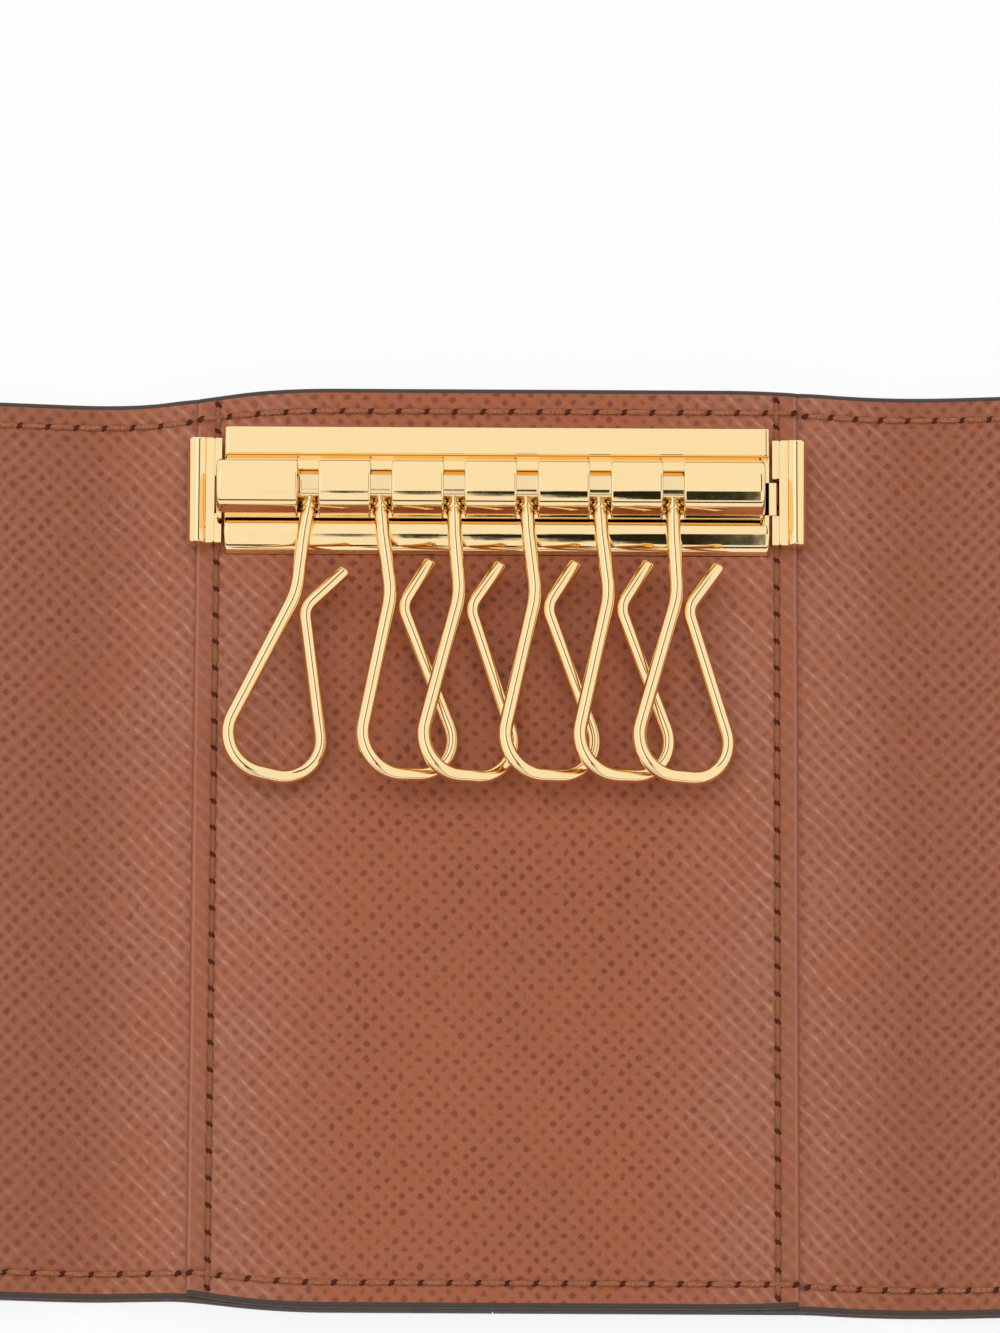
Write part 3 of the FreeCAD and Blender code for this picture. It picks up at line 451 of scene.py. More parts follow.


# Zones of the lining: where a change starts and ends, in millimetres from the middle along the leather
# Painted sheen rises toward the creases and falls again on the flaps
SHEEN_RISE = (13.0, 29.0)
SHEEN_FALL = (32.0, 45.0)
SMOOTH_STRIP = (29.2, 29.8, 31.65, 31.75)
# Painted highlight along the side edge of the centre lining
EDGE_HIGHLIGHT = (31.2, 31.45, 31.6, 31.7)
FLAP_SHADE = (32.0, 47.0)
# Flaps where the crossing ridges get a painted highlight
COUNTER_RIDGES = (42.0, 58.0)
# Half width of the groove under a stitch row: full, and run out
GROOVE = (0.12, 0.62)


def lining_leather(shade):
    """Crossed grain: two sets of ridges at 45 degrees, dark pits between them, painted highlights on the crests,
    painted edges.

    A ridge is a raised cosine of x + y or x - y, both shifted a little by noise. Painted sheen and highlights grow
    toward the creases, the strip outside the side stitches is smooth, and painted shade darkens the leather in the
    groove where the thread pulls it in.
    """
    look = settings("leather")
    place = flat_place(shade)
    x, y, _ = shade.parts(place)
    out = shade.math("ABSOLUTE", x)
    drift = shade.vector("SUBTRACT", shade.noise(place, 0.32, 2.0, "Color"), (0.5, 0.5, 0.5))
    drift_x, drift_y, _ = shade.parts(drift)
    turn = 2 * math.pi / (look.grain_pitch / MM) / math.sqrt(2)
    along = x + y + drift_x * 1.2
    across = x - y + drift_y * 1.8
    ridge = ((along * turn).cosine() * 0.5 + 0.5) ** 2.0
    cross = ((across * (turn * 0.96)).cosine() * 0.5 + 0.5) ** 1.6
    patch = shade.noise(place, 0.09, 3.0).step(0.36, 0.66)
    fine = shade.noise(place, 2.6, 3.0)
    # Share of painted sheen and ridge highlights, growing toward the creases
    rubbed = out.step(*SHEEN_RISE) * (1 - out.step(*SHEEN_FALL) * 0.85)
    streak_place = shade.node("ShaderNodeCombineXYZ", None, {0: along * 0.9, 1: across * 0.4, 2: 0.0})
    streak = shade.noise(streak_place, 1.05, 2.0).step(0.42, 0.7)
    spot = shade.noise(place, 0.7, 1.0).step(0.3, 0.7)
    hollow = (1 - ridge) * (1 - cross) + fine * 0.8 + spot * 0.3
    pits = hollow.step(1.1, 1.58)
    speck = fine.step(0.56, 0.72)
    smooth = out.band(*SMOOTH_STRIP)
    grain = 1 - smooth * 0.6
    from_edge = shade.attribute("inset") * (1 / MM)
    row = shade.math("ABSOLUTE", from_edge - look.seam_from_edge / MM)
    side = shade.math("ABSOLUTE", out - (OVERLAY[1].x - look.seam_from_side) / MM)
    groove = 1 - shade.math("MINIMUM", row, side).step(*GROOVE)
    cloud = shade.noise(place, 0.05, 2.0).step(0.3, 0.7)
    tone = (fine.step(0.25, 0.75) * 0.28 + cloud * 0.25 + out.step(*FLAP_SHADE) * 0.9) * grain + smooth * 0.5
    base = tone.mix(tuple(look.tan), toned(look.tan, 0.8))
    sheened = (rubbed * (0.14 + patch * 0.2) * grain).mix(base, tuple(look.sheen_colour))
    pitted = pits * grain * (0.5 + spot * 0.22 + patch * 0.18) * (1 - rubbed * 0.4)
    dark = pitted.mix(sheened, tuple(look.pit))
    beaded = (0.3 + streak * 0.7) * (0.55 + cross * 0.45)
    # Painted highlights along the ridges, in streaks, strongest where the painted sheen is
    ridge_highlight = ridge ** 2.6 * beaded * grain * (0.16 + rubbed * 0.84)
    # Painted highlight on the crossing ridges of the flaps
    counter_highlight = cross ** 2.6 * out.step(*COUNTER_RIDGES) * 0.2
    edge_highlight = out.band(*EDGE_HIGHLIGHT)
    # Painted highlights and random light specks, mixed toward the highlight colour
    highlight_and_speck = shade.math("MAXIMUM", ridge_highlight + counter_highlight + speck * grain * 0.14, edge_highlight * 0.45)
    lit = highlight_and_speck.mix(dark, tuple(look.ridge_highlight))
    # Painted shade in the groove under each stitch row
    body = (groove * 0.5).mix(lit, tuple(look.pit))
    paint = shade.attribute("painted")
    height = (ridge * 0.55 + cross * 0.4 + fine * 0.25) * grain * (1 - paint) - groove * 0.6
    return {
        "Base Color": paint.mix(body, tuple(look.paint)),
        "Roughness": 0.5 - ridge_highlight * 0.14 + pits * 0.08 + fine * 0.06,
        "Normal": shade.bump(height, 0.07 * MM, 0.8),
    }


def outer_leather(shade):
    """Fine pebble grain in two browns, painted edges."""
    look = settings("leather")
    place = flat_place(shade)
    drift = shade.noise(place, 0.7, 2.0, "Color")
    moved = shade.vector("ADD", place, shade.vector("MULTIPLY", drift, (0.5, 0.5, 0.5)))
    cell = shade.node("ShaderNodeTexVoronoi", {"feature": "SMOOTH_F1"},
                      {"Vector": moved, "Scale": 0.95, "Smoothness": 0.35}, "Distance")
    pebble = 1 - cell.step(0.1, 0.75)
    wear = shade.noise(place, 0.06, 3.0).step(0.35, 0.7)
    fine = shade.noise(place, 4.0, 3.0)
    base = wear.mix(tuple(look.brown), toned(look.brown, 1.45))
    body = ((1 - pebble) * 0.7).mix(base, toned(look.brown, 0.4))
    paint = shade.attribute("painted")
    return {
        "Base Color": paint.mix(body, tuple(look.paint)),
        "Roughness": 0.56 - pebble * 0.14 + fine * 0.08,
        "Normal": shade.bump((pebble * 0.8 + fine * 0.2) * (1 - paint), 0.14 * MM, 0.9),
    }


def polished(bright, worn, rough):
    """A plated metal with faint rubbed patches and a fine, uneven polish."""

    def build(shade):
        place = object_place(shade)
        cloud = shade.noise(place, 0.22, 3.0).step(0.35, 0.7)
        fine = shade.noise(place, 1.7, 3.0)
        return {
            "Base Color": (cloud * 0.35).mix(bright, worn),
            "Roughness": fine * 0.03 + cloud * 0.02 + rough,
            "Normal": shade.bump(shade.noise(place, 0.6, 1.0), 0.004 * MM, 0.5),
        }

    return build


def twisted_thread(shade):
    """Waxed thread: fine strands, lit and shaded at random as painted light and shade, with painted shade in the
    rows beside the creases.
    """
    look = settings("leather")
    place = object_place(shade)
    fine = shade.noise(place, 5.0, 2.0)
    side = (OVERLAY[1].x - look.seam_from_side) / MM
    x, _, _ = shade.parts(place)
    # Painted shade on the thread in the rows beside the creases
    sunk = 1 - shade.math("ABSOLUTE", shade.math("ABSOLUTE", x) - side).step(0.4, 0.6)
    lit = fine.step(0.3, 0.75) * (1 - sunk * 0.5)
    return {
        # Lit and shaded thread at random along the strands: painted light and shade
        "Base Color": lit.mix(toned(look.thread, 0.45), tuple(look.thread)),
        "Roughness": fine * 0.2 + 0.5,
        "Normal": shade.bump(fine, 0.08 * MM, 0.8),
    }


def needle_hole(shade):
    """Dark, uneven hollow."""
    look = settings("leather")
    fine = shade.noise(object_place(shade), 3.0, 2.0)
    return {
        "Base Color": fine.mix(tuple(look.hole), toned(look.hole, 1.8)),
        "Roughness": fine * 0.2 + 0.7,
    }


def pressed_board(shade):
    """Fibre board with short flecks, as dark as the painted edges."""
    look = settings("hardware")
    place = object_place(shade)
    fleck = shade.noise(shade.vector("MULTIPLY", place, (0.4, 2.5, 1.0)), 1.2, 3.0)
    return {
        "Base Color": fleck.step(0.35, 0.7).mix(tuple(look.board), toned(look.board, 1.5)),
        "Roughness": fleck * 0.1 + 0.8,
        "Normal": shade.bump(fleck, 0.05 * MM, 0.6),
    }


def finish(name):
    """A finish of this object by name."""
    metal = settings("hardware")
    gold = tuple(metal.gold)
    steel = tuple(metal.steel)
    gloss = "Specular IOR Level"
    finishes = {
        "tan_lining": (lining_leather, {gloss: 0.3}),
        "brown_cover": (outer_leather, {gloss: 0.4}),
        "gold_plate": (polished(gold, tuple(metal.gold_worn), 0.025), {"Metallic": 1.0}),
        "drum_plate": (polished(tuple(metal.drum_metal), gold, 0.05), {"Metallic": 1.0}),
        "rivet_steel": (polished(steel, toned(steel, 0.8), 0.25), {"Metallic": 1.0}),
        "stitch_thread": (twisted_thread, {gloss: 0.3}),
        "needle_hole": (needle_hole, {gloss: 0.1}),
        "grey_board": (pressed_board, {gloss: 0.3}),
    }
    return material(name, *finishes[name])


# Leather: the line of the lining and layers along it
OPEN_CASE = [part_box("left_flap_lining"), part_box("right_flap_lining")]
HALF_OPEN = OPEN_CASE[1][1].x
LEFT_HALF_HEIGHT = OPEN_CASE[0][1].y
RIGHT_HALF_HEIGHT = OPEN_CASE[1][1].y
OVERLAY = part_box("centre_lining")
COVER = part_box("centre_cover")
LINING_TOP = OVERLAY[1].z
PANEL_TOP = OVERLAY[0].z
LINING_DEPTH = PANEL_TOP - COVER[1].z
STACK_DEPTH = PANEL_TOP - COVER[0].z
LINE_STEPS = 2400
CORNER_ROWS = 26
FACE_COLUMNS = 26
FLAP_SPACING = 0.8 * MM
SPINE_SPACING = 0.4 * MM
COVER_SPACING = 0.6 * MM
# Lengths before and after a crease, handed to bend, which does not use them
SPINE_BEND = (1.0 * MM, 3.2 * MM)
FLAP_BEND = (2.4 * MM, 2.4 * MM)
BOARD_GAP = 0.02 * MM


def half_height(x):
    """Half height of the case at x: level, with a fall to the trimmed left flap and round corners.

    The fall is two parabolas that meet halfway down, and a corner is a quarter of a circle.
    """
    look = settings("leather")
    t = np.clip((-x - look.trim_start) / (look.trim_end - look.trim_start), 0, 1)
    fall = np.where(t < 0.5, 2 * t ** 2, 1 - 2 * (1 - t) ** 2)
    level = RIGHT_HALF_HEIGHT - (RIGHT_HALF_HEIGHT - LEFT_HALF_HEIGHT) * fall
    past = np.clip(np.abs(x) - (HALF_OPEN - look.corner), 0, look.corner)
    return level - look.corner + np.sqrt(look.corner ** 2 - past ** 2)


def lining_line(side, sign):
    """Top line of the lining from the middle to a flap's edge, as its slope integrated along its length.

    The slope is zero on the centre panel, drops at the inner crease, turns evenly along the spine up to the
    flap's rise at the outer crease and stays there. Both creases are where the fold joints say.
    """
    look = settings("leather")
    inner = JOINTS[f"{side}_spine_fold"]
    outer = JOINTS[f"{side}_flap_fold"]
    turn = inner["range_deg"][1]
    rise = math.radians(180 - turn * (1 + RATIOS[f"{side}_flap_fold"]))
    start = math.radians(2 * turn - 180) + rise
    chord = math.dist(inner["pos_m"], outer["pos_m"])
    radius = chord / (2 * math.sin((start + rise) / 2))
    soft = look.crease_soft
    crease = abs(inner["pos_m"][0])
    flap = crease + radius * (start + rise)
    reach = flap + (HALF_OPEN - abs(outer["pos_m"][0])) / math.cos(rise)
    s = np.linspace(0, reach, LINE_STEPS)
    slope = np.interp(s, [0, crease - soft, crease + soft, flap - soft, flap + soft, reach],
                      [0, 0, soft / radius - start, rise - soft / radius, rise, rise])
    step = s[1] - s[0]
    x = np.cumsum(np.cos(slope)) * step
    z = PANEL_TOP + np.cumsum(np.sin(slope)) * step
    share_done = np.clip((s - crease + soft) / (flap - crease + soft), 0, 1)
    x = x + share_done * (abs(outer["pos_m"][0]) - np.interp(flap, s, x))
    z = z + share_done * (outer["pos_m"][2] - np.interp(flap, s, z))
    return SimpleNamespace(sign=sign, s=s, x=x, z=z, slope=slope, crease=crease, flap=flap, reach=reach,
                           middle=(crease + flap) / 2, rise=rise)


def level_line():
    """The level top of the centre lining as such a line, past both of its sides."""
    ends = np.array([-0.1, 0.1])
    return SimpleNamespace(sign=1, s=ends, x=ends, z=np.full(2, LINING_TOP), slope=np.zeros(2))


def on_line(line, s, depth):
    """Point at a length along the line and a depth under it, square to it: x and z."""
    slope = np.interp(s, line.s, line.slope)
    x = np.interp(s, line.s, line.x) + depth * np.sin(slope)
    z = np.interp(s, line.s, line.z) - depth * np.cos(slope)
    return line.sign * x, z


def layer_round(thickness):
    """Rounding of a layer's edges: the one that is set, or a little less than half the thickness."""
    return min(settings("leather").edge_round, 0.46 * thickness)


def edge_profile(thickness):
    """Upper half of a layer's section: share of the half height, shift, drop and paint of each point.

    It goes up a quarter round at one edge, across the face in even steps, and down a quarter round again.
    """
    look = settings("leather")
    full_paint = 0.9
    rounding = layer_round(thickness)
    run, inset = quarter(rounding, 5)
    tuck = rounding + look.edge_wrap
    shifts = np.concatenate([-run, [-rounding - look.edge_wrap * full_paint, -tuck]])
    drops = np.concatenate([inset, [0, 0]])
    paints = np.concatenate([np.ones(len(run)), [1.0, 0.0]])
    middle = np.linspace(-1, 1, FACE_COLUMNS)[1:-1]
    shares = np.concatenate([-np.ones(len(shifts)), middle, np.ones(len(shifts))])
    shift = np.concatenate([-shifts, -tuck * middle, shifts[::-1]])
    drop = np.concatenate([drops, np.zeros(len(middle)), drops[::-1]])
    paint = np.concatenate([paints, np.zeros(len(middle)), paints[::-1]])
    return shares, shift, drop, paint


def layer(line, rows, top, bottom, free_end=False, free_start=False, side_paint=1.0):
    """A leather layer: rounded sections across the case, carried along a line between two depths under it."""
    look = settings("leather")
    thickness = bottom - top
    shares, shift, drop, paint = edge_profile(thickness)
    rounding = layer_round(thickness)
    inset = np.zeros(len(rows))
    end_paint = np.zeros(len(rows))
    for wanted, past in ((free_end, rows - rows[-1] + rounding), (free_start, rows[0] + rounding - rows)):
        if wanted:
            q = np.clip(past / rounding, 0, 1)
            inset = inset + rounding * (1 - np.sqrt(1 - q ** 2))
            wrapped = np.clip((past + look.edge_wrap) / look.edge_wrap, 0, 1)
            end_paint = np.maximum(end_paint, side_paint * wrapped)
    upper = top + inset[:, None] + drop * (1 - 2 * inset[:, None] / thickness)
    depth = np.concatenate([upper, (top + bottom - upper)[:, ::-1]], axis=1)
    x, z = on_line(line, np.broadcast_to(rows[:, None], depth.shape), depth)
    shares = np.concatenate([shares, shares[::-1]])
    shift = np.concatenate([shift, shift[::-1]])
    paint = np.concatenate([paint, paint[::-1]])
    edge = half_height(np.clip(x, -HALF_OPEN, HALF_OPEN))
    if free_start:
        corner = 0.25 * OVERLAY[1].x
        edge = edge - look.skive * np.clip((np.abs(x) - 3 * corner) / corner, 0, 1) ** 2
    y = shares * edge + shift
    along = np.broadcast_to(line.sign * rows[:, None], depth.shape)
    flat = np.stack([along, y, depth], axis=-1)
    from_edge = edge - np.abs(y)
    if free_end and not free_start:
        from_edge = np.minimum(from_edge, (rows[-1] - rows)[:, None])
    painted = np.maximum(paint, end_paint[:, None])
    return loft(np.stack([x, y, z], axis=-1), flat=flat, inset=from_edge, painted=painted)


def rows_between(start, end, spacing):
    """Evenly spaced places along a line."""
    return np.linspace(start, end, int(round((end - start) / spacing)) + 1)


def flap_rows(line, start):
    """Places along a flap, closer together round its outer corners."""
    corner = settings("leather").corner
    plain = rows_between(start, line.reach - corner, FLAP_SPACING)
    turn = np.linspace(0, math.pi / 2, CORNER_ROWS)[1:]
    return np.concatenate([plain, line.reach - corner + corner * np.sin(turn)])


def bend(obj, line, crease_name, before, after):
    """Bakes the piece's place into its mesh; the line, the crease and the lengths before and after it are not
    used.
    """
    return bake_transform(obj)


class KEYCASE_OT_lining(Operator):
    """Tan lining: the stitched centre lining, and the spines and flaps that run in under it"""

    bl_idname = "key_case.lining"
    bl_label = "Lining"

    def execute(self, context):
        tan = finish("tan_lining")
        edge = settings("leather").edge_round
        run, _ = quarter(edge, 6)
        inner_rows = rows_between(OVERLAY[0].x + edge, OVERLAY[1].x - edge, FLAP_SPACING)[1:-1]
        rows = np.concatenate([OVERLAY[0].x + run, inner_rows, (OVERLAY[1].x - run)[::-1]])
        surface = layer(level_line(), rows, 0.0, LINING_TOP - PANEL_TOP, free_end=True, free_start=True,
                        side_paint=0.0)
        centre = piece("centre_lining_leather", [surface], tan)
        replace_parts(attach(centre, "root"), "centre_lining")
        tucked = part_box("stiffener_board")[1].x + BOARD_GAP
        for side, sign in SIDES:
            line = lining_line(side, sign)
            surface = layer(line, rows_between(tucked, line.middle, SPINE_SPACING), 0.0, LINING_DEPTH)
            inner = piece(f"{side}_spine_lining_leather", [surface], tan)
            bend(inner, line, f"{side}_spine_fold", *SPINE_BEND)
            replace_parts(inner, f"{side}_lining_margin", f"{side}_spine_lining")
            surface = layer(line, flap_rows(line, line.middle), 0.0, LINING_DEPTH, free_end=True)
            outer = piece(f"{side}_flap_lining_leather", [surface], tan)
            bend(outer, line, f"{side}_flap_fold", *FLAP_BEND)
            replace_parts(outer, f"{side}_flap_lining")
        return {"FINISHED"}


class KEYCASE_OT_cover(Operator):
    """Outer leather, in one line under the lining from the middle to the edge of each flap"""

    bl_idname = "key_case.cover"
    bl_label = "Outer leather"

    def execute(self, context):
        brown = finish("brown_cover")
        for side, sign in SIDES:
            line = lining_line(side, sign)
            surface = layer(line, rows_between(0.0, line.middle, COVER_SPACING), LINING_DEPTH, STACK_DEPTH)
            inner = piece(f"{side}_spine_cover_leather", [surface], brown)
            bend(inner, line, f"{side}_spine_fold", *SPINE_BEND)
            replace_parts(inner, "centre_cover", f"{side}_spine_cover")
            surface = layer(line, flap_rows(line, line.middle), LINING_DEPTH, STACK_DEPTH, free_end=True)
            outer = piece(f"{side}_flap_cover_leather", [surface], brown)
            bend(outer, line, f"{side}_flap_fold", *FLAP_BEND)
            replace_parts(outer, f"{side}_flap_cover")
        return {"FINISHED"}


# Stitching
THREAD_LIFT = 0.03 * MM
HOLE_SINK = 0.01 * MM
HOLE_HALF_DEPTH = 0.07 * MM
CENTRE_SEAM_END = 0.3 * MM
SIDE_SEAM_END = 1.2 * MM
SPINE_SEAM_START = 1.0 * MM


def stitch_row(points, normals):
    """Threads and needle holes along a row: points are the needle holes, one thread lies between each two.

    A thread is a round bead whose width follows the square root of 1 - t^4 along its length t; a hole is a
    flat bead of the same kind.
    """
    look = settings("leather")
    gap = points[1:] - points[:-1]
    reach = np.linalg.norm(gap, axis=1, keepdims=True)
    ahead = gap / reach
    normal = (normals[1:] + normals[:-1]) / 2
    t = np.array([-0.98, -0.8, -0.4, 0.4, 0.8, 0.98])
    swell = (1 - t ** 4) ** 0.5
    turn = np.linspace(0, 2 * math.pi, 8, endpoint=False)

    def beads(middle, along, half_length, half_width, half_depth, up):
        """Oval rings on a straight line along each bead."""
        side = np.cross(up, along)
        run = (half_length[:, :, None] * t[None, :, None])[..., None]
        spine = middle[:, None, None] + along[:, None, None] * run
        ring = (side[:, None] * (half_width * np.cos(turn))[None, :, None]
                + up[:, None] * (half_depth * np.sin(turn))[None, :, None])
        return spine + swell[None, :, None, None] * ring[:, None]

    middle = (points[1:] + points[:-1]) / 2 + normal * THREAD_LIFT
    width = look.thread_width / 2
    thread = beads(middle, ahead, (reach - look.hole_width * 0.45) / 2, width, 0.8 * width, normal)
    hole_size = np.full((len(points), 1), look.hole_width / 2)
    row_ahead = np.concatenate([ahead, ahead[-1:]])
    beside = np.cross(normals, row_ahead)
    slanted = math.cos(look.hole_slant) * row_ahead + math.sin(look.hole_slant) * beside
    sunk = points - normals * HOLE_SINK
    hole = beads(sunk, slanted, hole_size, look.hole_width * 0.33, HOLE_HALF_DEPTH, normals)
    return [loft(thread, 0), loft(hole, 1)]


def stitch_places(start, end):
    """Needle holes from a start to an end, as near to the pitch as whole stitches allow."""
    count = int(round((end - start) / settings("leather").stitch_pitch))
    return np.linspace(start, end, count + 1)


def edge_seam(line, start, end, row):
    """Needle holes beside the long edge of a flap, from one length along the lining's line to another."""
    s = stitch_places(start, end)
    x, z = on_line(line, s, 0.0)
    slope = np.interp(s, line.s, line.slope)
    y = row * (half_height(x) - settings("leather").seam_from_edge)
    normals = np.stack([-line.sign * np.sin(slope), np.zeros(len(s)), np.cos(slope)], axis=-1)
    return np.stack([x, y, z], axis=-1), normals


def level_seam(x, y):
    """Needle holes on the centre lining."""
    points = np.stack([x, y, np.full(len(x), LINING_TOP)], axis=-1)
    return points, np.tile([0.0, 0.0, 1.0], (len(x), 1))


class KEYCASE_OT_stitches(Operator):
    """Stitch rows round the case and along both sides of the centre lining"""

    bl_idname = "key_case.stitches"
    bl_label = "Stitches"

    def execute(self, context):
        look = settings("leather")
        finishes = finish("stitch_thread"), finish("needle_hole")
        side_x = OVERLAY[1].x - look.seam_from_side
        end_x = OVERLAY[1].x - CENTRE_SEAM_END
        across = stitch_places(-end_x, end_x)
        rows = []
        for row in UPPER_AND_LOWER:
            rows += stitch_row(*level_seam(across, row * (half_height(across) - look.seam_from_edge)))
        for _, sign in SIDES:
            top = half_height(np.array([sign * side_x]))[0] - SIDE_SEAM_END
            up = stitch_places(-top, top)
            rows += stitch_row(*level_seam(np.full(len(up), sign * side_x), up))
        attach(piece("centre_stitches", rows, *finishes), "root")
        for side, sign in SIDES:
            line = lining_line(side, sign)
            first = OVERLAY[1].x + SPINE_SEAM_START
            rows = []
            for row in UPPER_AND_LOWER:
                rows += stitch_row(*edge_seam(line, first, line.middle, row))
            inner = piece(f"{side}_spine_stitches", rows, *finishes)
            bend(inner, line, f"{side}_spine_fold", *SPINE_BEND)
            last = line.reach - look.seam_from_edge
            rows = []
            for row in UPPER_AND_LOWER:
                rows += stitch_row(*edge_seam(line, line.middle, last, row))
            x, z = on_line(line, last, 0.0)
            top = half_height(np.array([x]))[0] - look.seam_from_edge
            up = stitch_places(-top, top)
            points = np.stack([np.full(len(up), x), up, np.full(len(up), z)], axis=-1)
            normals = np.tile([-sign * math.sin(line.rise), 0.0, math.cos(line.rise)], (len(up), 1))
            rows += stitch_row(points, normals)
            outer = piece(f"{side}_flap_stitches", rows, *finishes)
            bend(outer, line, f"{side}_flap_fold", *FLAP_BEND)
        return {"FINISHED"}


# Key bar
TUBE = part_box("slotted_tube")
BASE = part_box("bar_base")
TUBE_RADIUS = (TUBE[1].y - TUBE[0].y) / 2
AXIS_Y = (TUBE[1].y + TUBE[0].y) / 2
AXIS_Z = TUBE[1].z - TUBE_RADIUS
DRAFT = 0.02 * MM
BAND_GAP = 0.3 * MM
BED_GAP = 0.25 * MM
TONGUE_RIM = 0.05 * MM
FLANGE_RIM = 0.1 * MM
BAR_SHARP = 35.0


def arch(radius, foot, steps=33):
    """Half round on straight legs, from one foot over the top to the other, as y and z."""
    turn = np.linspace(math.pi, 0, steps)
    radius = np.asarray(radius)[..., None]
    legs = np.broadcast_to(np.asarray(foot), radius.shape)
    y = np.concatenate([-radius, radius * np.cos(turn), radius], axis=-1)
    z = np.concatenate([legs, AXIS_Z + radius * np.sin(turn), legs], axis=-1)
    return AXIS_Y + y, z


def arch_shell(start, end, foot, rim_start, rim_end):
    """A stretch of the tube: an outer and an inner arch, with broken edges where a slot begins."""
    metal = settings("hardware")
    along, inset = rimmed(start, end, rim_start, rim_end)
    outer_y, outer_z = arch(TUBE_RADIUS - inset, foot)
    inner_y, inner_z = arch(TUBE_RADIUS - metal.tube_wall + inset, foot)
    y = np.concatenate([outer_y, inner_y[:, ::-1]], axis=1)
    z = np.concatenate([outer_z, inner_z[:, ::-1]], axis=1)
    return loft(np.stack([np.broadcast_to(along[:, None], y.shape), y, z], axis=-1))


def arch_plug(start, end, foot, rim_start, rim_end):
    """A closed end of the tube: a whole arch with a rounded outer rim."""
    along, inset = rimmed(start, end, rim_start, rim_end)
    outer_y, outer_z = arch(TUBE_RADIUS - inset, foot + DRAFT)
    y = np.concatenate([outer_y, outer_y[:, ::-1]], axis=1)
    z = np.concatenate([outer_z, np.full(outer_z.shape, foot)], axis=1)
    return loft(np.stack([np.broadcast_to(along[:, None], y.shape), y, z], axis=-1))


def slot_places():
    """Middles of the slots: where the stems leave the tube."""
    wall = TUBE_RADIUS - settings("hardware").tube_wall / 2
    places = []
    for k in HOOKS:
        axis = JOINTS[f"hook_{k}_spin"]["axis"]
        places.append(JOINTS[f"drum_{k}_swing"]["pos_m"][0] + wall * math.tan(math.asin(axis[0])))
    return places


def standing_prism(across, height, floor, along, inset, axes):
    """A section that stands on a floor, carried along a line; the inset lowers its top at the ends."""
    top = np.max(height)
    upper = np.minimum(height, (top - inset)[:, None])
    middle = (np.max(across) + np.min(across)) / 2
    shrink = 1 - 2 * inset / (np.max(across) - np.min(across))
    wide = middle + (np.concatenate([across, across[::-1]]) - middle) * shrink[:, None]
    high = np.concatenate([upper, np.full(upper.shape, floor)], axis=1)
    far = np.broadcast_to(along[:, None], wide.shape)
    columns = dict(zip(axes, (far, wide, high)))
    return loft(np.stack([columns["x"], columns["y"], columns["z"]], axis=-1))


def rounded_band(start, end, top, rounding, steps=9):
    """Outline of a band with two rounded edges, from its start over its top to its end."""
    turn = np.linspace(0, math.pi / 2, steps)
    rise = top - rounding + rounding * np.sin(turn)
    near = start + rounding * (1 - np.cos(turn))
    far = end - rounding * (1 - np.cos(turn[::-1]))
    return np.concatenate([near, far]), np.concatenate([rise, rise[::-1]])


def crowned_band(start, end, top, crown, fall, rounding, steps=9):
    """Outline of a band whose crown falls toward its start, in an arc with a small round at both edges."""
    back = 0.15 * MM
    peak = end - back
    steep = math.asin((peak - start - rounding + crown * math.sin(fall)) / (crown - rounding))
    arc = np.linspace(steep, fall, 3 * steps)
    y = peak - crown * (np.sin(arc) - math.sin(fall))
    z = top - crown * (math.cos(fall) - np.cos(arc))
    front = np.linspace(math.pi / 2, steep, steps)[:-1]
    front_y = y[0] + rounding * (math.sin(steep) - np.sin(front))
    front_z = z[0] - rounding * (math.cos(steep) - np.cos(front))
    rear = np.linspace(0, math.pi / 2, 5)[1:]
    rear_y = peak + back * np.sin(rear)
    rear_z = top - back * (1 - np.cos(rear))
    return np.concatenate([front_y, y, rear_y]), np.concatenate([front_z, z, rear_z])


def base_outline():
    """Section of the base plate from the lower band over the plate to the upper band, as y and z."""
    metal = settings("hardware")
    plate = LINING_TOP + metal.base_thickness
    top = BASE[1].z
    front = AXIS_Y - metal.lower_band_end
    lower_y, lower_z = crowned_band(front + DRAFT, AXIS_Y - metal.lower_band_start, top,
                                    metal.lower_band_crown, metal.lower_band_fall, metal.lower_band_round)
    upper_y, upper_z = rounded_band(AXIS_Y + metal.upper_band_start, BASE[1].y - DRAFT, top,
                                    metal.upper_band_round)
    y = np.concatenate([[front], lower_y, [lower_y[-1] + DRAFT, upper_y[0] - DRAFT], upper_y, [BASE[1].y]])
    z = np.concatenate([[LINING_TOP + DRAFT], lower_z, [plate, plate], upper_z, [LINING_TOP + DRAFT]])
    return y, z


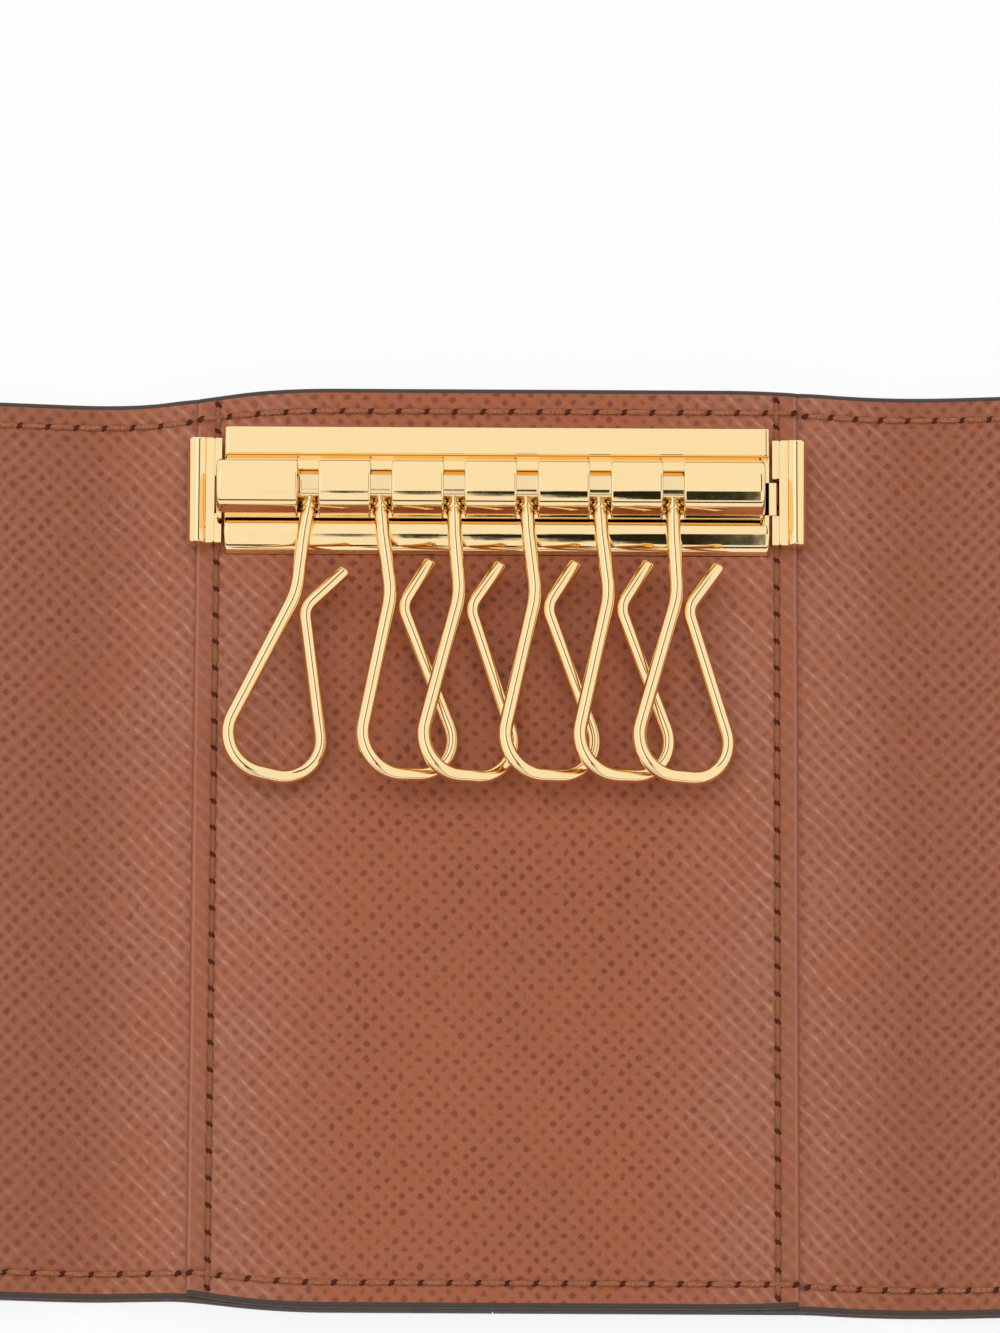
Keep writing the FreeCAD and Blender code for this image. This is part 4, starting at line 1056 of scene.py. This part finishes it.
class KEYCASE_OT_bar(Operator):
    """Key bar: base plate with two bands, slotted tube, and the end brackets"""

    bl_idname = "key_case.bar"
    bl_label = "Key bar"

    def execute(self, context):
        gold = finish("gold_plate")
        metal = settings("hardware")
        self.base(gold, metal)
        self.tube(gold, metal)
        for side, sign in SIDES:
            self.bracket(gold, metal, side, sign)
        return {"FINISHED"}

    def base(self, gold, metal):
        """Plate, bands, bed and tongues."""
        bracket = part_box("right_bracket")
        half = min(abs(bracket[0].x), abs(bracket[1].x)) - BAND_GAP
        y, z = base_outline()
        along, inset = rimmed(-half, half, metal.band_end_round, metal.band_end_round)
        surfaces = [standing_prism(y, z, LINING_TOP, along, inset, "xyz")]
        tongue = metal.tongue_width / 2
        plate = LINING_TOP + metal.base_thickness
        low = (BASE[0].x, AXIS_Y - tongue, LINING_TOP)
        high = (BASE[1].x, AXIS_Y + tongue, plate)
        surfaces.append(loft(block(low, high, TONGUE_RIM)))
        bed = metal.bed_width / 2
        start = TUBE[0].x + metal.lip_length + metal.tube_end_wall + BED_GAP
        end = TUBE[1].x - metal.tube_end_wall - BED_GAP
        low = (start, AXIS_Y - bed, LINING_TOP)
        high = (end, AXIS_Y + bed, LINING_TOP + metal.bed_height)
        surfaces.append(loft(block(low, high)))
        made = piece("bar_base_plate", surfaces, gold, sharp=BAR_SHARP)
        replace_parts(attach(made, "root"), "bar_base")

    def tube(self, gold, metal):
        """Arch between the slots, legs under them and closed ends."""
        half = metal.slot_width / 2
        foot = AXIS_Z - metal.slot_depth
        floor = LINING_TOP + metal.base_thickness
        left, right = TUBE[0].x, TUBE[1].x
        legs_start = left + metal.lip_length
        plug_end = legs_start + metal.tube_end_wall
        edges = [plug_end]
        for place in slot_places():
            edges += [place - half, place + half]
        edges.append(right - metal.tube_end_wall)
        surfaces = []
        for start, end in zip(edges[::2], edges[1::2]):
            rim_start = metal.slot_rim if start != edges[0] else 0.0
            rim_end = metal.slot_rim if end != edges[-1] else 0.0
            surfaces.append(arch_shell(start, end, foot, rim_start, rim_end))
        for sign in (-1, 1):
            wall = sorted((AXIS_Y + sign * TUBE_RADIUS, AXIS_Y + sign * (TUBE_RADIUS - metal.tube_wall)))
            low = (plug_end, wall[0], floor)
            surfaces.append(loft(block(low, (right - metal.tube_end_wall, wall[1], foot))))
        lip = LINING_TOP + metal.lip_height
        surfaces.append(arch_plug(left, plug_end, lip, metal.tube_end_round, 0.0))
        surfaces.append(arch_plug(right - metal.tube_end_wall, right, floor, 0.0, metal.tube_end_round))
        low = (legs_start, TUBE[0].y, floor)
        surfaces.append(loft(block(low, (plug_end, TUBE[1].y, lip))))
        made = piece("slotted_tube_plate", surfaces, gold, sharp=BAR_SHARP)
        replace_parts(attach(made, "root"), "slotted_tube")

    def bracket(self, gold, metal, side, sign):
        """Rolled bead and flange, with a notch for the tongue."""
        low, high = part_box(f"{side}_bracket")
        near = min(abs(low.x), abs(high.x))
        far = max(abs(low.x), abs(high.x)) + metal.bracket_flare
        front = low.y - metal.bracket_tail
        behind_notch = near + metal.notch_depth
        flange = LINING_TOP + metal.bracket_flange
        bead_x = far - metal.bracket_bead
        bead_z = high.z - metal.bracket_bead
        start = math.pi - math.asin((flange - bead_z) / metal.bracket_bead)
        turn = np.linspace(start, 0, 24)
        x = np.concatenate([[behind_notch, behind_notch + DRAFT],
                            bead_x + metal.bracket_bead * np.cos(turn) - DRAFT, [far]])
        z = np.concatenate([[LINING_TOP + DRAFT, flange], bead_z + metal.bracket_bead * np.sin(turn),
                            [LINING_TOP + DRAFT]])
        along, inset = rimmed(front, high.y, metal.bracket_corner, metal.bracket_corner)
        surfaces = [standing_prism(sign * x, z, LINING_TOP, along, inset, "yxz")]
        notch = metal.notch_width / 2
        x = np.array([near, near + DRAFT, behind_notch, behind_notch + DRAFT])
        z = np.array([LINING_TOP + DRAFT, flange, flange, LINING_TOP + DRAFT])
        for start_y, end_y in ((front, AXIS_Y - notch), (AXIS_Y + notch, high.y)):
            along, inset = rimmed(start_y, end_y, FLANGE_RIM, FLANGE_RIM)
            surfaces.append(standing_prism(sign * x, z, LINING_TOP, along, inset, "yxz"))
        made = piece(f"{side}_bracket_plate", surfaces, gold, sharp=BAR_SHARP)
        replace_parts(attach(made, "root"), f"{side}_bracket")


# Hooks
def unit(vector):
    """A vector of length one."""
    return np.asarray(vector) / np.linalg.norm(vector)


def arc_points(centre, start, end, steps=14):
    """Points of the shorter arc about a centre from one point to another."""
    a, b = (math.atan2(p[1] - centre[1], p[0] - centre[0]) for p in (start, end))
    b += 2 * math.pi * round((a - b) / (2 * math.pi))
    turn = np.linspace(a, b, steps)[:, None]
    radius = math.dist(centre, start)
    return np.asarray(centre) + radius * np.concatenate([np.cos(turn), np.sin(turn)], axis=1)


def rounded_corner(previous, vertex, following, radius):
    """Arc that rounds a corner of the wire between its two runs."""
    back = unit(np.subtract(previous, vertex))
    ahead = unit(np.subtract(following, vertex))
    half = math.acos(float(back @ ahead)) / 2
    run = radius / math.tan(half)
    centre = np.asarray(vertex) + unit(back + ahead) * radius / math.sin(half)
    return arc_points(centre, vertex + back * run, vertex + ahead * run)


def touch_point(point, centre, radius, side):
    """Where a line from a point touches a circle on its left (-1) or right (1) side."""
    toward = math.atan2(point[1] - centre[1], point[0] - centre[0])
    spread = math.acos(radius / math.dist(point, centre))
    turns = (toward - spread, toward + spread)
    choices = [(centre[0] + radius * math.cos(turn), centre[1] + radius * math.sin(turn)) for turn in turns]
    return np.array(sorted(choices)[0 if side < 0 else 1])


def hook_line():
    """Centre line of a hook as (side, reach): stem, neck, pear loop, pinch and tip."""
    metal = settings("hardware")
    begin = np.array([0.0, metal.head_seat - metal.head_thickness / 2])
    straight = np.array([0.0, metal.stem_straight])
    neck = np.array([metal.neck_side, metal.neck_reach])
    pinch = np.array([metal.pinch_side, metal.pinch_reach])
    tip = np.array([metal.tip_side, metal.tip_reach])
    corner = metal.loop_corner
    left = np.array([corner - metal.loop_left, metal.loop_reach - corner])
    right = np.array([metal.loop_right - corner, metal.loop_reach - corner])
    left_touch = touch_point(neck, left, corner, -1)
    right_touch = touch_point(pinch, right, corner, 1)
    drop = np.array([0.0, corner])
    return np.concatenate([
        [begin],
        rounded_corner(begin, straight, neck, metal.stem_bend),
        rounded_corner(straight, neck, left_touch, metal.neck_bend),
        arc_points(left, left_touch, left + drop, 18),
        arc_points(right, right + drop, right_touch, 18),
        rounded_corner(right_touch, pinch, tip, metal.pinch_bend),
        [tip],
    ])


def hook_frame(k):
    """Centre, side, reach and normal directions of a hook as it lies, from its joint's axis and its spin."""
    metal = settings("hardware")
    joint = JOINTS[f"hook_{k}_spin"]
    reach = unit(joint["axis"])
    lean = math.asin(reach[0])
    pitch = math.asin(-reach[2] / math.cos(lean))
    side = np.array([math.cos(lean), math.sin(lean) * math.cos(pitch), math.sin(lean) * math.sin(pitch)])
    normal = np.array([0.0, -math.sin(pitch), math.cos(pitch)])
    spin = metal.free_spin if k == 1 else metal.shingled_spin
    turned = math.cos(spin) * side - math.sin(spin) * normal
    return np.array(joint["pos_m"]), turned, reach, np.cross(turned, -reach)


def wire(k):
    """Round wire carried along a hook's centre line, with a softly rounded tip."""
    metal = settings("hardware")
    tip_round = 0.45 * metal.wire_radius
    centre, side, reach, normal = hook_frame(k)
    line = hook_line()
    run, inset = quarter(tip_round, 5)
    last = unit(line[-1] - line[-2])
    line = np.concatenate([line[:-1], line[-1] - last * run[::-1][:, None]])
    plain = np.full(len(line) - len(run), metal.wire_radius)
    radius = np.concatenate([plain, metal.wire_radius - inset[::-1]])
    points = centre + line[:, :1] * side + line[:, 1:] * reach
    ahead = np.gradient(points, axis=0)
    ahead = ahead / np.linalg.norm(ahead, axis=1, keepdims=True)
    beside = np.cross(ahead, normal)
    turn = np.linspace(0, 2 * math.pi, 20, endpoint=False)
    spoke = beside[:, None] * np.cos(turn)[None, :, None] + normal * np.sin(turn)[None, :, None]
    return loft(points[:, None] + radius[:, None, None] * spoke)


class KEYCASE_OT_hooks(Operator):
    """Six wire hooks with their collars and heads, and the drums that they swing on"""

    bl_idname = "key_case.hooks"
    bl_label = "Hooks and drums"

    def execute(self, context):
        metal = settings("hardware")
        gold, drum_plate = finish("gold_plate"), finish("drum_plate")
        for k in HOOKS:
            centre, _, reach, _ = hook_frame(k)
            collar_end = metal.collar_start + metal.collar_length
            collar = rod(metal.collar_start, collar_end, metal.collar_radius, metal.collar_round)
            head_start = metal.head_seat - metal.head_thickness
            head = rod(head_start, metal.head_seat, metal.head_radius, metal.slot_rim)
            surfaces = [wire(k), loft(lathe(centre, reach, *collar)), loft(lathe(centre, reach, *head))]
            hook = piece(f"hook_{k}_wire", surfaces, gold)
            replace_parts(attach(hook, f"hook_{k}"), f"hook_{k}")
            barrel = lathe(centre, (1, 0, 0), *self.spool(metal), steps=64)
            drum = piece(f"swivel_drum_{k}_barrel", [loft(barrel)], drum_plate)
            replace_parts(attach(drum, f"drum_{k}"), f"swivel_drum_{k}")
        return {"FINISHED"}

    def spool(self, metal):
        """Profile of a drum with rounded ends and a waist in its middle, as (along, radius).

        The waist is level, and rises to the drum at each end by 3 t^2 - 2 t^3 over a short flare.
        """
        half = metal.drum_length / 2
        along, radius = rod(-half, half, metal.drum_radius, metal.drum_round)
        half_waist = metal.waist_length / 2
        flare = 0.45 * MM
        waist = np.linspace(-half_waist - flare, half_waist + flare, 29)
        t = np.clip((np.abs(waist) - half_waist) / flare, 0, 1)
        dip = metal.waist_radius + (metal.drum_radius - metal.waist_radius) * t * t * (3 - 2 * t)
        count = len(along) // 2
        places = np.concatenate([along[:count], waist, along[count:]])
        return places, np.concatenate([radius[:count], dip, radius[count:]])


# Snaps
def snap_shapes():
    """Profiles of the four snap pieces as (height, radius) along their axis, in millimetres."""
    turn = np.linspace(0, math.pi / 2, 12)
    crown = (np.concatenate([[0.0, 0.35], 0.45 + 0.85 * np.sin(turn)]),
             np.concatenate([[5.9, 6.0], 6.0 * np.cos(turn * 0.995)]))
    socket = (np.array([0.0, 1.2, 1.42, 1.5, 1.5, 1.44, 1.25, 0.5, 0.35, 0.35]),
              np.array([4.9, 4.9, 4.75, 4.5, 2.6, 2.3, 2.1, 2.1, 1.9, 0.1]))
    stud = (np.array([0.0, 0.0, 0.2, 0.3, 0.34, 0.55, 0.95, 1.3, 1.42, 1.45]),
            np.array([0.1, 4.5, 4.6, 4.4, 2.1, 1.8, 1.95, 1.85, 1.4, 0.1]))
    eyelet = (np.array([0.0, 0.3, 0.45, 0.5, 0.46, 0.3, 0.28]),
              np.array([4.2, 4.2, 4.05, 3.7, 2.2, 1.7, 0.1]))
    return {"caps": crown, "sockets": socket, "studs": stud, "eyelets": eyelet}


class KEYCASE_OT_snaps(Operator):
    """Two snap fasteners: caps and sockets on the right flap, studs and eyelets on the left flap"""

    bl_idname = "key_case.snaps"
    bl_label = "Snaps"

    def execute(self, context):
        metal = settings("hardware")
        gold = finish("gold_plate")
        shapes = snap_shapes()
        places = (
            ("caps", "right", 1, metal.socket_along, -1),
            ("sockets", "right", 1, metal.socket_along, 1),
            ("studs", "left", -1, metal.stud_along, -1),
            ("eyelets", "left", -1, metal.stud_along, 1),
        )
        for name, side, sign, along, face in places:
            line = lining_line(side, sign)
            normal = np.array([-sign * math.sin(line.rise), 0.0, math.cos(line.rise)])
            x, z = on_line(line, line.flap + along, 0.0 if face > 0 else STACK_DEPTH)
            heights, radii = shapes[name]
            surfaces = []
            for row in UPPER_AND_LOWER:
                seat = (float(x), row * metal.snap_spread, float(z))
                surfaces.append(loft(lathe(seat, face * normal, heights * MM, radii * MM, steps=64)))
            made = piece(f"snap_{name}_metal", surfaces, gold)
            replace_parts(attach(made, f"{side}_flap"), f"snap_{name}")
        return {"FINISHED"}


class KEYCASE_OT_inner_parts(Operator):
    """Finishes of the board and the rivets, which stay as they are modelled"""

    bl_idname = "key_case.inner_parts"
    bl_label = "Board and rivets"

    def execute(self, context):
        for node, name in (("stiffener_board", "grey_board"), ("bracket_rivets", "rivet_steel")):
            made = frame["nodes"][node]
            made.data.materials.clear()
            made.data.materials.append(finish(name))
        return {"FINISHED"}


# Stage
def seen_ray(shade):
    """1 for what the camera, a mirror or glass sees, 0 for light on its way to a matt surface."""
    path = shade.node("ShaderNodeLightPath").socket.node.outputs
    names = ("Is Camera Ray", "Is Glossy Ray", "Is Transmission Ray")
    camera, mirror, glass = (Shade(shade.tree, path[name]) for name in names)
    return (camera + mirror + glass).step(0.0, 1.0)


def glow(shade, red, green, blue):
    """A shader that only glows, in one colour."""
    return shade.node("ShaderNodeEmission", None, {"Color": (red, green, blue, 1.0), "Strength": 1.0})


def flat_card(name, points, made):
    """A card of the stage: a strip of quads between two rows of points."""
    count = len(points)
    index = np.arange(2 * count).reshape(count, 2)
    faces = np.stack([index[:-1, 0], index[1:, 0], index[1:, 1], index[:-1, 1]], axis=-1)
    mesh = bpy.data.meshes.new(name)
    mesh.from_pydata(np.asarray(points).reshape(-1, 3).tolist(), [], faces.tolist())
    mesh.materials.append(made)
    card = bpy.data.objects.new(name, mesh)
    bpy.context.scene.collection.objects.link(card)
    return card


def surface_material(name, build):
    """A stage material made of other shaders than the usual one."""
    made = bpy.data.materials.new(name)
    made.use_nodes = True
    tree = made.node_tree
    tree.nodes.clear()
    shade = Shade(tree)
    output = tree.nodes.new("ShaderNodeOutputMaterial")
    tree.links.new(build(shade).socket, output.inputs["Surface"])
    return made


class KEYCASE_OT_stage(Operator):
    """Floor, soft light, cards for the polished metal to mirror, and the camera"""

    bl_idname = "key_case.stage"
    bl_label = "Stage"

    def execute(self, context):
        scene = context.scene
        scene.view_settings.view_transform = "Standard"
        stage = settings("stage")
        self.surroundings(scene, stage)
        self.floor(stage)
        self.lights()
        self.cards()
        self.camera(scene, stage)
        return {"FINISHED"}

    def surroundings(self, scene, stage):
        """White to the eye, softer as light."""
        world = bpy.data.worlds.new("studio")
        world.use_nodes = True
        scene.world = world
        tree = world.node_tree
        shade = Shade(tree)
        sky = next(node for node in tree.nodes if node.type == "BACKGROUND")
        sky.inputs["Color"].default_value = (1.0, 1.0, 1.0, 1.0)
        strength = seen_ray(shade) * (1.0 - stage.ambient) + stage.ambient
        tree.links.new(strength.socket, sky.inputs["Strength"])

    def floor(self, stage):
        """Plain pale floor that keeps the case's shadow."""

        def build(shade):
            matt = shade.node("ShaderNodeBsdfDiffuse", None, {"Color": tuple(stage.floor)})
            seen = seen_ray(shade) * stage.floor_glow
            return shade.node("ShaderNodeMixShader", None, {0: seen, 1: matt, 2: glow(shade, 1.0, 1.0, 1.0)})

        size = 4.0
        gap = 0.05 * MM
        level = CAD_BOX[0][2] - gap
        points = [[(x, y, level) for x in (-size, size)] for y in (size, -size)]
        flat_card("floor", points, surface_material("floor_matt", build))

    def lights(self):
        """A large soft box overhead and a smaller one from the upper left."""
        lamps = (("overhead", (0.1, 0.15, 0.75), 0.8, 1.5), ("key", (-0.45, 0.35, 0.55), 0.3, 1.0))
        aim = Vector((0, 0.02, 0))
        for name, place, size, power in lamps:
            lamp = bpy.data.lights.new(name, "AREA")
            lamp.shape = "DISK"
            lamp.size = size
            lamp.energy = power
            made = bpy.data.objects.new(name, lamp)
            made.visible_glossy = False
            made.location = place
            made.rotation_mode = "QUATERNION"
            made.rotation_quaternion = (aim - made.location).to_track_quat("-Z", "Y")
            bpy.context.scene.collection.objects.link(made)

    def cards(self):
        """Dark cards in front of the bar, a grey and a pale one overhead: only polished metal sees them."""
        dark = surface_material("dark_card", lambda shade: glow(shade, 0.02, 0.017, 0.01))
        grey = surface_material("grey_card", lambda shade: glow(shade, 0.09, 0.085, 0.06))
        pale = surface_material("pale_card", lambda shade: glow(shade, 1.15, 1.3, 1.55))
        away = 0.45
        middle = np.array([0, AXIS_Y, AXIS_Z])

        def at(x, elevation):
            """Points at x on a cylinder about the bar's axis, at an elevation in degrees."""
            turn = np.radians(elevation)
            x, turn = np.broadcast_arrays(x, turn)
            return middle + np.stack([x, -away * np.cos(turn), away * np.sin(turn)], axis=-1)

        # The blob grows to the right and thins out in front of every slot
        blob_start, blob_end, blob_growth = -19.5 * MM, 28.0 * MM, 38 * MM
        slot_fade = 1.6 * MM
        blob_line, blob_below, blob_above = 56, 31, 7
        x = np.linspace(blob_start, blob_end, 240)
        from_slot = np.min(np.abs(x[:, None] - np.array(slot_places())), axis=1)
        clear = np.clip((from_slot - 0.6 * settings("hardware").slot_width) / slot_fade, 0, 1) ** 0.5
        grow = np.clip((x - blob_start) / blob_growth, 0, 1)
        size = 0.2 + 0.8 * grow
        size = size * (clear + (1 - clear) * grow ** 1.5)
        reach = 1 + away / settings("stage").distance
        blob = np.stack([at(x * reach, blob_line - blob_below * size),
                         at(x * reach, blob_line + blob_above * size)], axis=1)
        ends = np.array([-0.4, 0.4])
        strip = np.stack([at(ends, 13), at(ends, 19)], axis=1)
        overhead = np.array([[[0.08, -0.35, 0.8], [0.26, -0.35, 0.8]], [[0.08, 0.9, 0.8], [0.26, 0.9, 0.8]]])
        beside = overhead * np.array([-1.0, 1.0, 1.0])
        for name, points, made in (("blob_card", blob, dark), ("strip_card", strip, dark),
                                   ("overhead_card", overhead, grey), ("beside_card", beside, pale)):
            card = flat_card(name, points, made)
            card.visible_camera = False
            card.visible_diffuse = False
            card.visible_shadow = False
            card.visible_transmission = False

    def camera(self, scene, stage):
        """A long lens above the case, looking along the photographed angle."""
        data = bpy.data.cameras.new("camera")
        data.sensor_width = 36.0
        data.lens = data.sensor_width * stage.distance / stage.view_height
        data.clip_start = 0.01
        data.clip_end = 50.0
        made = bpy.data.objects.new("camera", data)
        target = Vector((stage.target_x, stage.target_y, stage.target_z))
        back = Vector((0, -math.cos(stage.elevation), math.sin(stage.elevation)))
        made.location = target + back * stage.distance
        made.rotation_mode = "QUATERNION"
        made.rotation_quaternion = (-back).to_track_quat("-Z", "Y") @ Quaternion((0, 0, 1), stage.roll)
        scene.collection.objects.link(made)
        scene.camera = made


PROPERTY_GROUPS = {"leather": KeyCaseLeather, "hardware": KeyCaseHardware, "stage": KeyCaseStage}
OPERATORS = (KEYCASE_OT_lining, KEYCASE_OT_cover, KEYCASE_OT_stitches, KEYCASE_OT_bar, KEYCASE_OT_hooks,
             KEYCASE_OT_snaps, KEYCASE_OT_inner_parts, KEYCASE_OT_stage)


class KEYCASE_PT_sidebar(Panel):
    """Lists the pieces of the key case"""

    bl_idname = "KEYCASE_PT_sidebar"
    bl_label = "Key case"
    bl_space_type = "VIEW_3D"
    bl_region_type = "UI"
    bl_category = "Key case"

    def draw(self, context):
        for operator in OPERATORS:
            self.layout.operator(operator.bl_idname)
        for name, group in PROPERTY_GROUPS.items():
            box = self.layout.box()
            box.label(text=name.capitalize())
            for key in group.__annotations__:
                box.prop(settings(name), key)


def register():
    """Registers the settings, the operators and the panel."""
    for name, group in PROPERTY_GROUPS.items():
        bpy.utils.register_class(group)
        setattr(bpy.types.Scene, f"key_case_{name}", PointerProperty(type=group))
    for found in (*OPERATORS, KEYCASE_PT_sidebar):
        bpy.utils.register_class(found)


def unregister():
    """Takes them out again."""
    for found in (KEYCASE_PT_sidebar, *reversed(OPERATORS)):
        bpy.utils.unregister_class(found)
    for name, group in PROPERTY_GROUPS.items():
        delattr(bpy.types.Scene, f"key_case_{name}")
        bpy.utils.unregister_class(group)


def main():
    """Builds everything in order."""
    register()
    for operator in OPERATORS:
        group, name = operator.bl_idname.split(".")
        getattr(getattr(bpy.ops, group), name)()


if __name__ == "__main__":
    main()
